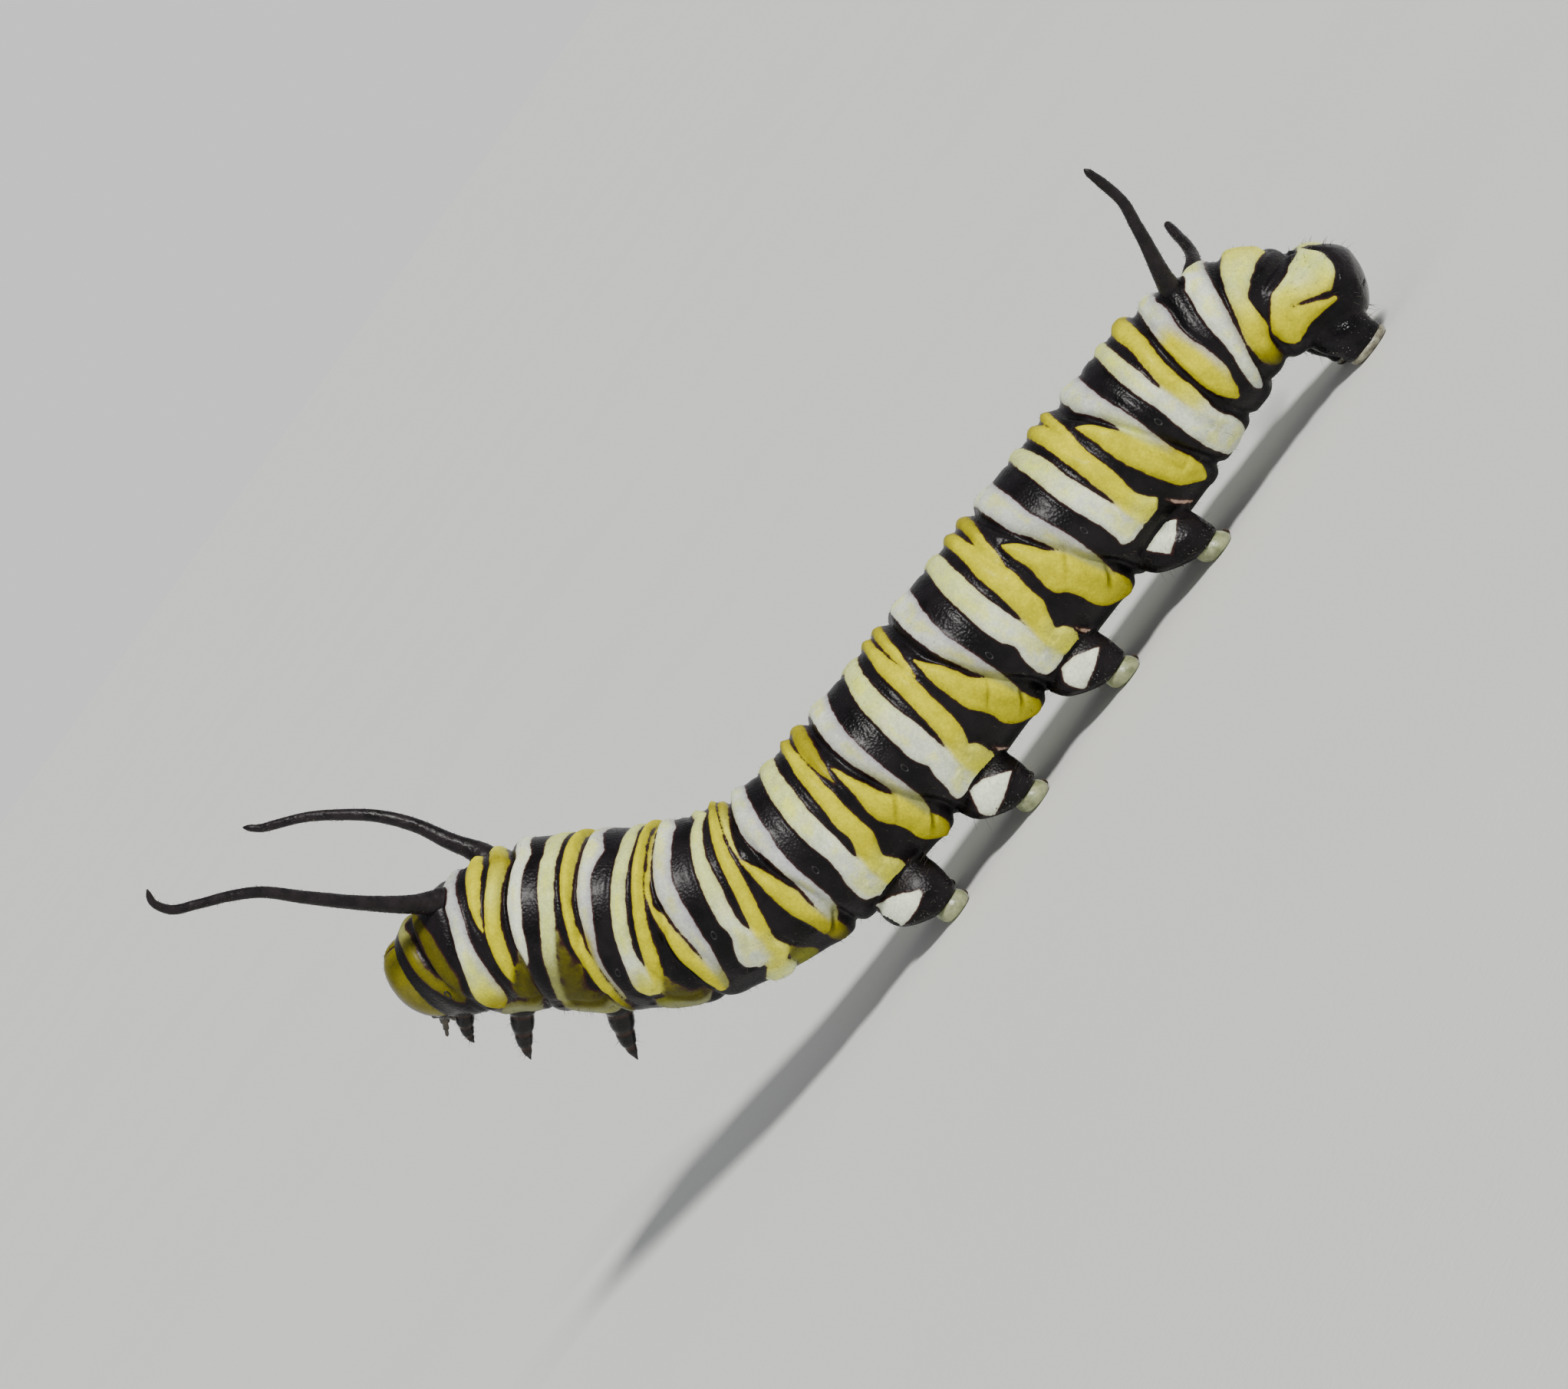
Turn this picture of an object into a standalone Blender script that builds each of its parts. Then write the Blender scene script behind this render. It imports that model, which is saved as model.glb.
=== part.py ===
"""Monarch larva in its last stage, as a still life-size model in solid pieces.

The body is a line of rings from the neck to the tail. Each segment is a loft between two
flat seams, and the legs, prolegs and filaments grow from the surface of those rings.
Lengths are in millimetres here and become metres where the meshes are made. The larva
faces -X, its left side faces -Y, and its prolegs stand on the floor at z = 0.
"""
import math

import bmesh
import bpy
import numpy as np
from mathutils import Matrix, Vector

NAME = "monarch_larva"
MM = 0.001

# The point of the floor under the middle of the whole model, on the body line's own axes
FLOOR = -0.15
ORIGIN = (0.783, 2.565, FLOOR)

# Gap that is kept between pieces that meet
GAP = 0.3

# Seams from the neck to the end of the tail: centre of the ring, half depth, half width,
# roll of the back towards the left side and lean of the back towards the head, in degrees
SEAMS = (
    ("neck", (-17.0, 4.10, 12.70), 1.75, 1.80, 14, 4),
    ("T1_T2", (-15.95, 3.75, 12.35), 2.25, 2.35, 14, 4),
    ("T2_T3", (-13.45, 3.00, 10.85), 2.95, 3.00, 14, 2),
    ("T3_A1", (-11.55, 2.10, 8.75), 3.15, 3.15, 12, 5),
    ("A1_A2", (-9.55, 1.00, 6.75), 3.25, 3.20, 9, 7),
    ("A2_A3", (-6.50, 0.30, 5.15), 3.20, 3.20, 5, 4),
    ("A3_A4", (-2.10, 0.0, 4.55), 3.20, 3.20, 2, 2),
    ("A4_A5", (2.60, 0.0, 4.40), 3.15, 3.20, 0, 8),
    ("A5_A6", (7.55, 0.0, 4.25), 3.15, 3.20, 0, 10),
    ("A6_A7", (12.3, 0.0, 4.10), 3.10, 3.10, 0, 9),
    ("A7_A8", (15.8, -0.40, 4.10), 2.80, 2.85, 0, 4),
    ("A8_A9", (18.1, -1.00, 3.55), 2.30, 2.50, 0, -6),
    ("A9_A10", (19.4, -1.40, 2.65), 1.72, 2.00, 0, -6),
    ("tail", (21.3, -1.95, 1.45), 0.75, 0.95, 0, 0),
)
SEGMENTS = (
    "prothorax", "mesothorax", "metathorax", "abdomen_1", "abdomen_2", "abdomen_3",
    "abdomen_4", "abdomen_5", "abdomen_6", "abdomen_7", "abdomen_8", "abdomen_9",
    "abdomen_10",
)
LAST = len(SEGMENTS)
RING_SIDES = 28
RING_TURNS = [360.0 * k / RING_SIDES for k in range(RING_SIDES)]
CLEARANCE_RINGS = 105
RING_SPACING = 0.72     # aim for the rings between two seams
SEAM_MARGIN = 0.16      # share of a segment that its outer rings keep from its seams
SEAM_GROOVE = 0.05      # depth of the crease at a seam, as a share of the radius
SEAM_SPREAD = 0.08      # its half width, as a share of the segment
RIDGE_HEIGHT = 0.025    # the raised yellow ridge of each segment
RIDGE_PLACE = 0.62
RIDGE_SPREAD = 0.07
BELLY_FLAT = 0.07       # how much the belly is flattened, as a share of the depth
TAIL_ROUNDING = 1.1     # how late the last segment closes: higher is blunter
SLOPE_STEP = 0.05       # distance over which the direction of the body line is taken

# Head: a capsule set on the neck, turned down from the body's own direction
HEAD_NOD = 22.0
HEAD_OUT = -0.10         # its centre beyond the neck
HEAD_DEPTH = 1.20        # half sizes: face to neck, side to side, crown to mouth
HEAD_WIDTH = 1.70
HEAD_HEIGHT = 1.80
HEAD_SIDES = 32
HEAD_RINGS = 20
LOBE_GROOVE = 0.10       # depth of the line that parts the two cheeks
LOBE_GROOVE_SPREAD = 0.28
STEMMATA = (             # six simple eyes a side: degrees from the face, degrees above the mouth
    (44, -30), (52, -24), (57, -33), (53, -42), (45, -45), (36, -52),
)
STEMMA_RADIUS = 0.13
# Mouth: the way from the middle of the head (face, side, up) and half sizes of each lobe
MOUTH_LOBES = (
    ((0.75, 0.0, -0.80), (0.30, 0.52, 0.34)),     # upper lip
    ((0.15, 0.0, -1.00), (0.42, 0.50, 0.36)),     # lower lip
    ((0.55, 0.32, -0.95), (0.32, 0.34, 0.42)),    # mandibles
)
# Feelers: the way to the root, from there to the tip, how far the root is sunk, and radii
FEELERS = (
    ((0.60, 0.62, -0.72), (0.55, 0.25, -0.45), 0.15, (0.22, 0.09)),    # antennae
    ((0.32, 0.35, -1.00), (0.10, 0.0, -0.50), 0.0, (0.24, 0.10)),      # palps
)

# Front filaments: points of the left one and of the right one, root first
FRONT_FILAMENT = {
    "left": ((-14.3, 1.35, 13.2), (-15.35, 0.93, 15.0), (-16.2, 0.6, 16.5), (-17.0, 0.2, 18.0),
             (-17.8, -0.1, 19.5), (-18.45, -0.3, 20.2), (-19.25, -0.55, 20.9),
             (-19.95, -0.75, 21.6), (-20.05, -0.9, 22.2), (-19.8, -1.0, 22.6)),
    "right": ((-12.75, 4.9, 12.6), (-12.6, 5.45, 13.75), (-12.85, 5.8, 14.7), (-13.15, 6.3, 16.05),
              (-13.7, 6.8, 17.3), (-14.45, 7.25, 18.35), (-15.3, 7.7, 19.3), (-16.05, 8.05, 19.9),
              (-16.55, 8.3, 20.3), (-16.9, 8.5, 20.8)),
}
FRONT_RADII = ((0.0, 0.55), (0.08, 0.42), (0.25, 0.34), (0.5, 0.27), (0.8, 0.22), (1.0, 0.13))
FRONT_SPLIT = 0.5        # where each front filament is divided, as a share of its length

# Rear filaments, shorter and blunt
REAR_FILAMENT = {
    "left": ((16.9, -1.3, 5.6), (17.15, -1.9, 6.7), (17.45, -2.2, 7.45), (17.8, -2.4, 8.2),
             (18.1, -2.5, 8.9), (18.4, -2.6, 9.6), (18.5, -2.7, 10.6), (18.5, -2.8, 11.4)),
    "right": ((17.5, 0.4, 5.4), (18.2, 1.4, 5.8), (18.65, 2.0, 5.95), (18.95, 2.7, 6.1),
              (19.15, 3.3, 6.4), (19.3, 4.0, 6.75), (19.5, 4.8, 7.25)),
}
REAR_RADII = ((0.0, 0.55), (0.15, 0.42), (0.4, 0.30), (0.75, 0.26), (1.0, 0.17))
FILAMENT_STEP = 0.55     # length of one stretch of a filament's tube

# Thoracic legs: place of the root on the body line, turn from the back, length beyond the
# body, how far the leg points to the head and its thickness as a share of the radii below
LEGS = {
    "foreleg": (0.50, 146, 1.25, 0.72, 0.72),
    "midleg": (1.60, 150, 2.05, 0.45, 0.92),
    "hindleg": (2.85, 152, 2.25, 0.07, 1.0),
}
LEG_SUNK = 0.7           # how far its root starts inside the body
LEG_RADII = ((0.0, 0.62), (0.25, 0.55), (0.34, 0.44), (0.52, 0.42), (0.60, 0.33),
             (0.76, 0.29), (0.82, 0.20), (0.90, 0.15), (1.0, 0.07))
LEG_CLAW = 0.30          # how far the claw bends back towards the tail
LEG_CLAW_BEND = 4        # how late it bends: higher is nearer the tip
LEG_SPLAY = 0.20         # how far the tips stand apart

# Prolegs: x of each root and pad, and the rings from inside the body down to the pad:
# height over the floor, distance from the middle, half length along the body and half width
PROLEG_X = {3: (-4.5, -4.45), 4: (-0.1, 0.15), 5: (5.0, 5.4), 6: (10.1, 10.75)}
PROLEG_RINGS = (
    (2.6, 1.20, 1.00, 0.75), (1.9, 1.55, 1.12, 0.92), (1.35, 1.85, 1.02, 0.88),
    (0.95, 1.98, 0.84, 0.76), (0.62, 2.02, 0.72, 0.66), (0.34, 2.05, 0.80, 0.72),
    (0.12, 2.08, 0.78, 0.68), (0.0, 2.08, 0.66, 0.56),
)
ANAL_PROLEG_X = (19.2, 19.5)
ANAL_PROLEG_MIDDLE = -1.30
ANAL_PROLEG_RINGS = (
    (2.3, 0.70, 0.85, 0.62), (1.6, 1.05, 1.05, 0.80), (1.05, 1.30, 0.98, 0.78),
    (0.62, 1.42, 0.80, 0.68), (0.32, 1.48, 0.84, 0.70), (0.10, 1.50, 0.80, 0.64),
    (0.0, 1.50, 0.68, 0.54),
)
PROLEG_SIDES = 20
TUBE_ROUNDING = 2        # sides of a tube in each quarter, over one
CLOSE = 1e-6             # points nearer than this are one point, in metres

# Looks: colour, roughness
BLACK = ((0.012, 0.010, 0.012), 0.45)
YELLOW = ((0.78, 0.62, 0.03), 0.55)
PALE = ((0.62, 0.66, 0.52), 0.55)
GLOSSY_BLACK = ((0.008, 0.008, 0.009), 0.22)


def unit(vector):
    return vector / np.linalg.norm(vector)


def smooth(knots, values, x):
    """Smooth curve through the values at the knots."""
    knots = np.asarray(knots, float)
    values = np.asarray(values, float)
    slopes = np.gradient(values, knots)
    i = int(np.clip(np.searchsorted(knots, x, side="right") - 1, 0, len(knots) - 2))
    span = knots[i + 1] - knots[i]
    t = (x - knots[i]) / span
    start = (1 + 2 * t) * (1 - t) ** 2 * values[i] + t * (1 - t) ** 2 * span * slopes[i]
    end = t * t * (3 - 2 * t) * values[i + 1] + t * t * (t - 1) * span * slopes[i + 1]
    return start + end


CENTRES = np.array([seam[1] for seam in SEAMS])
ALONG = np.concatenate([[0.0], np.cumsum(np.linalg.norm(np.diff(CENTRES, axis=0), axis=1))])


def station(u):
    """Frame of the body at u seams from the neck: centre, forward, back, left and half sizes."""
    i = int(np.clip(math.floor(u), 0, LAST - 1))
    s = ALONG[i] + (u - i) * (ALONG[i + 1] - ALONG[i])
    place = [np.array([smooth(ALONG, CENTRES[:, axis], s + step) for axis in range(3)])
             for step in (-SLOPE_STEP, 0.0, SLOPE_STEP)]
    forward = unit(place[0] - place[2])
    depth, width, roll, lean = (smooth(ALONG, [seam[k] for seam in SEAMS], s) for k in (2, 3, 4, 5))
    level_left = unit(np.cross([0.0, 0.0, 1.0], forward))
    upright = np.cross(forward, level_left)
    roll, lean = math.radians(roll), math.radians(lean)
    left = level_left * math.cos(roll) - upright * math.sin(roll)
    back = upright * math.cos(roll) + level_left * math.sin(roll)
    back = back * math.cos(lean) + forward * math.sin(lean)
    return place[1], forward, back, left, depth, width


def swell(u):
    """Radius along one segment: a crease at each seam and one raised ridge."""
    i = int(np.clip(math.floor(u), 0, LAST - 1))
    f = u - i
    crease = math.exp(-((f / SEAM_SPREAD) ** 2)) + math.exp(-(((1 - f) / SEAM_SPREAD) ** 2))
    ridge = math.exp(-(((f - RIDGE_PLACE) / RIDGE_SPREAD) ** 2))
    return 1 - SEAM_GROOVE * crease + RIDGE_HEIGHT * ridge


def tail_close(u):
    """Share of the radius that is left where the last segment rounds off."""
    f = np.clip(u - (LAST - 1), 0.0, 1.0)
    return (1 - f ** (2 * TAIL_ROUNDING)) ** 0.5


def ring(u, turns, grow=0.0, shift=0.0):
    """Points of the body at u, turned from the back (0) to the left side (90) and the belly.

    grow enlarges the ring, and shift moves it along its own normal towards the tail.
    """
    centre, forward, back, left, depth, width = station(u)
    if u > LAST - 1:
        depth = tail_depth(u)
        width = depth * SEAMS[-2][3] / SEAMS[-2][2]
    scale = swell(u)
    centre = centre + tailward(forward, back, left) * shift
    points = []
    for turn in turns:
        angle = math.radians(turn)
        flat = 1 - BELLY_FLAT * max(0.0, -math.cos(angle)) ** 2
        points.append(centre + back * math.cos(angle) * (depth * scale * flat + grow)
                      + left * math.sin(angle) * (width * scale + grow))
    return points


def tail_depth(u):
    """Half depth of the last segment, which rounds off to a small end."""
    end = SEAMS[-1][2]
    return end + (SEAMS[-2][2] - end) * tail_close(u)


def tailward(forward, back, left):
    """Normal of a ring, towards the tail."""
    normal = unit(np.cross(back, left))
    return normal if np.dot(normal, forward) < 0 else -normal


def to_metres(point):
    return Vector([(point[axis] - ORIGIN[axis]) * MM for axis in range(3)])


def material(name, look):
    colour, roughness = look
    made = bpy.data.materials.new(name)
    made.use_nodes = True
    shader = made.node_tree.nodes["Principled BSDF"]
    shader.inputs["Base Color"].default_value = (*colour, 1.0)
    shader.inputs["Roughness"].default_value = roughness
    shader.inputs["Metallic"].default_value = 0.0
    return made


def add_object(name, mesh_data, look, collection):
    piece = bpy.data.objects.new(name, mesh_data)
    if look:
        mesh_data.materials.append(material(name, look))
    mesh_data.shade_smooth()
    collection.objects.link(piece)
    return piece


def loft(name, rings):
    """Closed mesh through rings of the same number of points, with flat ends."""
    shape = bmesh.new()
    rows = [[shape.verts.new(to_metres(point)) for point in points] for points in rings]
    sides = len(rows[0])
    for low, high in zip(rows, rows[1:]):
        for k in range(sides):
            following = (k + 1) % sides
            shape.faces.new((low[k], low[following], high[following], high[k]))
    shape.faces.new(rows[0])
    shape.faces.new(rows[-1])
    bmesh.ops.recalc_face_normals(shape, faces=shape.faces)
    mesh_data = bpy.data.meshes.new(name)
    shape.to_mesh(mesh_data)
    shape.free()
    return mesh_data


def segment_rings(index):
    """Rings of one segment, between seam planes that keep half the gap each."""
    length = ALONG[index + 1] - ALONG[index]
    count = max(3, round(length / RING_SPACING))
    shares = np.linspace(SEAM_MARGIN, 1 - SEAM_MARGIN, count)
    rings = [ring(index, RING_TURNS, shift=GAP / 2)]
    rings += [ring(index + share, RING_TURNS) for share in shares]
    end_shift = 0.0 if index == LAST - 1 else -GAP / 2
    rings.append(ring(index + 1, RING_TURNS, shift=end_shift))
    return rings


def make_segments(collection):
    for index, name in enumerate(SEGMENTS):
        look = YELLOW if index % 2 else PALE
        add_object(name, loft(name, segment_rings(index)), look, collection)


def make_clearance(collection):
    """The whole body, larger by the gap all round: it trims the roots of legs and filaments."""
    rings = [ring(0.0, RING_TURNS, grow=GAP, shift=-GAP)]
    rings += [ring(u, RING_TURNS, grow=GAP) for u in np.linspace(0.0, LAST, CLEARANCE_RINGS)]
    body = add_object("body_clearance", loft("body_clearance", rings), None, collection)
    body.hide_render = True
    body.display_type = "WIRE"
    return body


def trim(piece, cutter):
    """Cut a piece's root back to the surface of the body."""
    cut = piece.modifiers.new("root", "BOOLEAN")
    cut.operation = "DIFFERENCE"
    cut.solver = "EXACT"
    cut.object = cutter


def curve_points(points, step):
    """Evenly spaced points on a smooth curve through the given ones, with their shares."""
    points = np.array(points, float)
    along = np.concatenate([[0.0], np.cumsum(np.linalg.norm(np.diff(points, axis=0), axis=1))])
    count = max(2, round(along[-1] / step))
    shares = np.linspace(0.0, 1.0, count + 1)
    places = [np.array([smooth(along, points[:, axis], share * along[-1]) for axis in range(3)])
              for share in shares]
    return places, shares


def tube(name, places, radii):
    """Tapered round tube along a line of points, as a closed mesh."""
    data = bpy.data.curves.new(name, "CURVE")
    data.dimensions = "3D"
    data.bevel_depth = MM
    data.bevel_resolution = TUBE_ROUNDING
    data.use_fill_caps = True
    line = data.splines.new("POLY")
    line.points.add(len(places) - 1)
    for point, place, radius in zip(line.points, places, radii):
        point.co = (*to_metres(place), 1.0)
        point.radius = radius
    guide = bpy.data.objects.new(name, data)
    bpy.context.scene.collection.objects.link(guide)
    bpy.context.view_layer.update()
    made = bpy.data.meshes.new_from_object(guide.evaluated_get(bpy.context.evaluated_depsgraph_get()))
    bpy.data.objects.remove(guide)
    bpy.data.curves.remove(data)
    shape = bmesh.new()
    shape.from_mesh(made)
    bmesh.ops.remove_doubles(shape, verts=shape.verts, dist=CLOSE)
    bmesh.ops.recalc_face_normals(shape, faces=shape.faces)
    shape.to_mesh(made)
    shape.free()
    made.name = name
    return made


def radius_at(table, share):
    shares, radii = zip(*table)
    return float(np.interp(share, shares, radii))


def make_filaments(collection, cutter):
    for side, points in FRONT_FILAMENT.items():
        places, shares = curve_points(points, FILAMENT_STEP)
        radii = [radius_at(FRONT_RADII, share) for share in shares]
        split = int(round(FRONT_SPLIT * (len(places) - 1)))
        direction = unit(places[split + 1] - places[split - 1])
        lower = places[:split] + [places[split] - direction * GAP / 2]
        upper = [places[split] + direction * GAP / 2] + places[split + 1:]
        root = add_object(f"front_filament_{side}_root", tube("root", lower, radii[:split + 1]),
                          BLACK, collection)
        trim(root, cutter)
        add_object(f"front_filament_{side}_tip", tube("tip", upper, radii[split:]),
                   BLACK, collection)
    for side, points in REAR_FILAMENT.items():
        places, shares = curve_points(points, FILAMENT_STEP)
        radii = [radius_at(REAR_RADII, share) for share in shares]
        piece = add_object(f"rear_filament_{side}", tube("rear", places, radii), BLACK, collection)
        trim(piece, cutter)


def make_legs(collection, cutter):
    for kind, (u, turn, length, lean, thickness) in LEGS.items():
        centre, forward, back, left, _, _ = station(u)
        for side, sign in (("left", 1), ("right", -1)):
            root = ring(u, [sign * turn])[0]
            inward = unit(centre - root) * LEG_SUNK
            reach = unit(-back + sign * LEG_SPLAY * left + lean * forward) * (LEG_SUNK + length)
            claw = -forward * LEG_CLAW
            places = [root + inward + reach * share + claw * share ** LEG_CLAW_BEND
                      for share, _ in LEG_RADII]
            name = f"{kind}_{side}"
            mesh_data = tube(name, places, [radius * thickness for _, radius in LEG_RADII])
            trim(add_object(name, mesh_data, GLOSSY_BLACK, collection), cutter)


def proleg_rings(table, root_x, pad_x, middle, sign):
    """Rings of a proleg, from inside the body down to its flat pad."""
    top = table[0][0]
    angles = [2 * math.pi * k / PROLEG_SIDES for k in range(PROLEG_SIDES)]
    rings = []
    for height, out, half_length, half_width in table:
        x = pad_x + (root_x - pad_x) * height / top
        y = middle - sign * out
        rings.append([(x + half_length * math.cos(a), y + half_width * math.sin(a), FLOOR + height)
                      for a in angles])
    return rings


def make_prolegs(collection, cutter):
    for side, sign in (("left", 1), ("right", -1)):
        for number, (root_x, pad_x) in PROLEG_X.items():
            name = f"proleg_{number}_{side}"
            rings = proleg_rings(PROLEG_RINGS, root_x, pad_x, 0.0, sign)
            trim(add_object(name, loft(name, rings), GLOSSY_BLACK, collection), cutter)
        name = f"anal_proleg_{side}"
        rings = proleg_rings(ANAL_PROLEG_RINGS, *ANAL_PROLEG_X, ANAL_PROLEG_MIDDLE, sign)
        trim(add_object(name, loft(name, rings), GLOSSY_BLACK, collection), cutter)


def head_frame():
    """Axes of the head as columns: face, left and crown, and its centre."""
    centre, forward, back, left, _, _ = station(0.0)
    upright = unit(np.cross(forward, left))
    if np.dot(upright, back) < 0:
        upright = -upright
    nod = math.radians(HEAD_NOD)
    face = forward * math.cos(nod) - upright * math.sin(nod)
    crown = upright * math.cos(nod) + forward * math.sin(nod)
    return centre + forward * HEAD_OUT, face, left, crown


def ball(collection, centre, axes, half_sizes, segments=12, rings=8):
    """Stretched sphere on the given axes."""
    bpy.ops.mesh.primitive_uv_sphere_add(segments=segments, ring_count=rings, radius=MM)
    piece = bpy.context.object
    turn = Matrix([[axes[column][row] for column in range(3)] for row in range(3)]).to_4x4()
    piece.data.transform(turn @ Matrix.Diagonal((*half_sizes, 1.0)))
    piece.data.transform(Matrix.Translation(to_metres(centre)))
    for user in piece.users_collection:
        user.objects.unlink(piece)
    collection.objects.link(piece)
    return piece


def make_head(collection, scratch):
    centre, face, left, crown = head_frame()
    axes = (face, left, crown)
    capsule = ball(scratch, centre, axes, (HEAD_DEPTH, HEAD_WIDTH, HEAD_HEIGHT), HEAD_SIDES,
                   HEAD_RINGS)
    parts = mouth_parts(scratch, centre, axes)
    parts += eye_parts(scratch, centre, axes)
    groove_lobes(capsule, centre, face, left)
    head = fuse("head", capsule, parts, collection)
    cut_at_neck(head)


def groove_lobes(capsule, centre, face, left):
    """Press the line between the two cheeks a little into the capsule."""
    middle = to_metres(centre)
    for vertex in capsule.data.vertices:
        away = (vertex.co - middle) / MM
        across = away.dot(Vector(left)) / LOBE_GROOVE_SPREAD
        outward = away.normalized()
        press = LOBE_GROOVE * math.exp(-(across ** 2)) * max(0.0, outward.dot(Vector(face)))
        vertex.co -= outward * press * MM


def on_head(centre, axes, out_face, aside, up):
    """Point of the capsule's surface in the direction of the three shares."""
    face, left, crown = axes
    direction = unit(np.array([out_face, aside, up], float))
    scaled = direction / np.array([HEAD_DEPTH, HEAD_WIDTH, HEAD_HEIGHT])
    reach = 1 / np.linalg.norm(scaled)
    return centre + (face * direction[0] + left * direction[1] + crown * direction[2]) * reach


def mouth_parts(scratch, centre, axes):
    parts = []
    for (out_face, aside, up), half_sizes in MOUTH_LOBES:
        for sign in (1, -1) if aside else (1,):
            place = on_head(centre, axes, out_face, sign * aside, up)
            parts.append(ball(scratch, place, axes, half_sizes))
    face, left, crown = axes
    for (out_face, aside, up), (ahead, outward, above), sunk, radii in FEELERS:
        for sign in (1, -1):
            root = on_head(centre, axes, out_face, sign * aside, up)
            tip = root + face * ahead + left * sign * outward + crown * above
            parts.append(cone(scratch, root - face * sunk, tip, *radii))
    return parts


def eye_parts(scratch, centre, axes):
    parts = []
    for around, above in STEMMATA:
        for sign in (1, -1):
            a, e = math.radians(around), math.radians(above)
            place = on_head(centre, axes, math.cos(a) * math.cos(e), sign * math.sin(a) * math.cos(e),
                            math.sin(e))
            parts.append(ball(scratch, place, axes, (STEMMA_RADIUS,) * 3, 8, 6))
    return parts


def cone(scratch, start, end, start_radius, end_radius):
    """Blunt cone between two points."""
    mesh_data = tube("cone", [start, (np.array(start) + np.array(end)) / 2, end],
                     [start_radius, (start_radius + end_radius) / 2, end_radius])
    piece = bpy.data.objects.new("cone", mesh_data)
    scratch.objects.link(piece)
    return piece


def fuse(name, first, others, collection):
    """Join closed pieces into one closed body."""
    group = bpy.data.collections.new(name + "_pieces")
    bpy.context.scene.collection.children.link(group)
    for piece in others:
        group.objects.link(piece)
    union = first.modifiers.new("union", "BOOLEAN")
    union.operation = "UNION"
    union.solver = "EXACT"
    union.operand_type = "COLLECTION"
    union.collection = group
    bpy.context.view_layer.update()
    made = bpy.data.meshes.new_from_object(first.evaluated_get(bpy.context.evaluated_depsgraph_get()))
    for piece in (first, *others):
        bpy.data.objects.remove(piece)
    bpy.data.collections.remove(group)
    made.name = name
    return add_object(name, made, YELLOW, collection)


def keep_largest(shape):
    """Delete all but the largest closed surface."""
    waiting = set(shape.verts)
    islands = []
    while waiting:
        island = {waiting.pop()}
        edge_of_island = list(island)
        while edge_of_island:
            vertex = edge_of_island.pop()
            for edge in vertex.link_edges:
                other = edge.other_vert(vertex)
                if other in waiting:
                    waiting.remove(other)
                    island.add(other)
                    edge_of_island.append(other)
        islands.append(island)
    islands.sort(key=len)
    scraps = [vertex for island in islands[:-1] for vertex in island]
    bmesh.ops.delete(shape, geom=scraps, context="VERTS")


def cut_at_neck(head):
    """Cut the head flat where it meets the neck, half a gap in front of the seam."""
    centre, forward, back, left, _, _ = station(0.0)
    normal = tailward(forward, back, left)
    plane = to_metres(centre - normal * GAP / 2)
    shape = bmesh.new()
    shape.from_mesh(head.data)
    bmesh.ops.bisect_plane(shape, geom=shape.verts[:] + shape.edges[:] + shape.faces[:], dist=CLOSE / 10,
                           plane_co=plane, plane_no=Vector(normal), clear_outer=True)
    rim = [edge for edge in shape.edges if edge.is_boundary]
    bmesh.ops.contextual_create(shape, geom=rim)
    keep_largest(shape)
    bmesh.ops.recalc_face_normals(shape, faces=shape.faces)
    shape.to_mesh(head.data)
    shape.free()


def clear_scene():
    for piece in list(bpy.data.objects):
        bpy.data.objects.remove(piece)


def new_collection(name):
    made = bpy.data.collections.new(name)
    bpy.context.scene.collection.children.link(made)
    return made


def main():
    clear_scene()
    parts = new_collection(NAME)
    cutters = new_collection("cutters")
    make_segments(parts)
    clearance = make_clearance(cutters)
    make_head(parts, cutters)
    make_filaments(parts, clearance)
    make_legs(parts, clearance)
    make_prolegs(parts, clearance)


main()
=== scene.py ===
"""Monarch larva in its last stage: one banded skin with its head, filaments, legs and hairs.

Shapes are worked out in millimetres on the body line's own axes, the same line as the
solids have, and to_metres moves them to the model's frame.
"""
import math
from collections import namedtuple

import bmesh
import bpy
import numpy as np
from mathutils import Matrix, Vector
from mathutils.bvhtree import BVHTree


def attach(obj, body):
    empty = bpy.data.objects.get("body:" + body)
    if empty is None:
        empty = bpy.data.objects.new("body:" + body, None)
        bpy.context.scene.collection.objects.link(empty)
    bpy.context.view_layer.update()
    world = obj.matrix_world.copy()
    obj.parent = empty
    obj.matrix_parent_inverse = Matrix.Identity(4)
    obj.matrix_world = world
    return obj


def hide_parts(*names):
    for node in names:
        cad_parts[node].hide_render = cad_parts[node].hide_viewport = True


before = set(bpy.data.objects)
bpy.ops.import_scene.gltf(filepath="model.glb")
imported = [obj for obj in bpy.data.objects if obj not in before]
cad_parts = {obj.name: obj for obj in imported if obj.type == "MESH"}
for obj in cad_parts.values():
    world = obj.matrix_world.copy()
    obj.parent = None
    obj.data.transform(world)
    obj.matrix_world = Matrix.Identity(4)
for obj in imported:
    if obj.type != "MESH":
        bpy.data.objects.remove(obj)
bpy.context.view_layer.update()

MM = 0.001
FLOOR = -0.15            # height of the floor on the body line's axes
ORIGIN = np.array([0.783, 2.565, FLOOR])     # the model's origin on them

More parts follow.
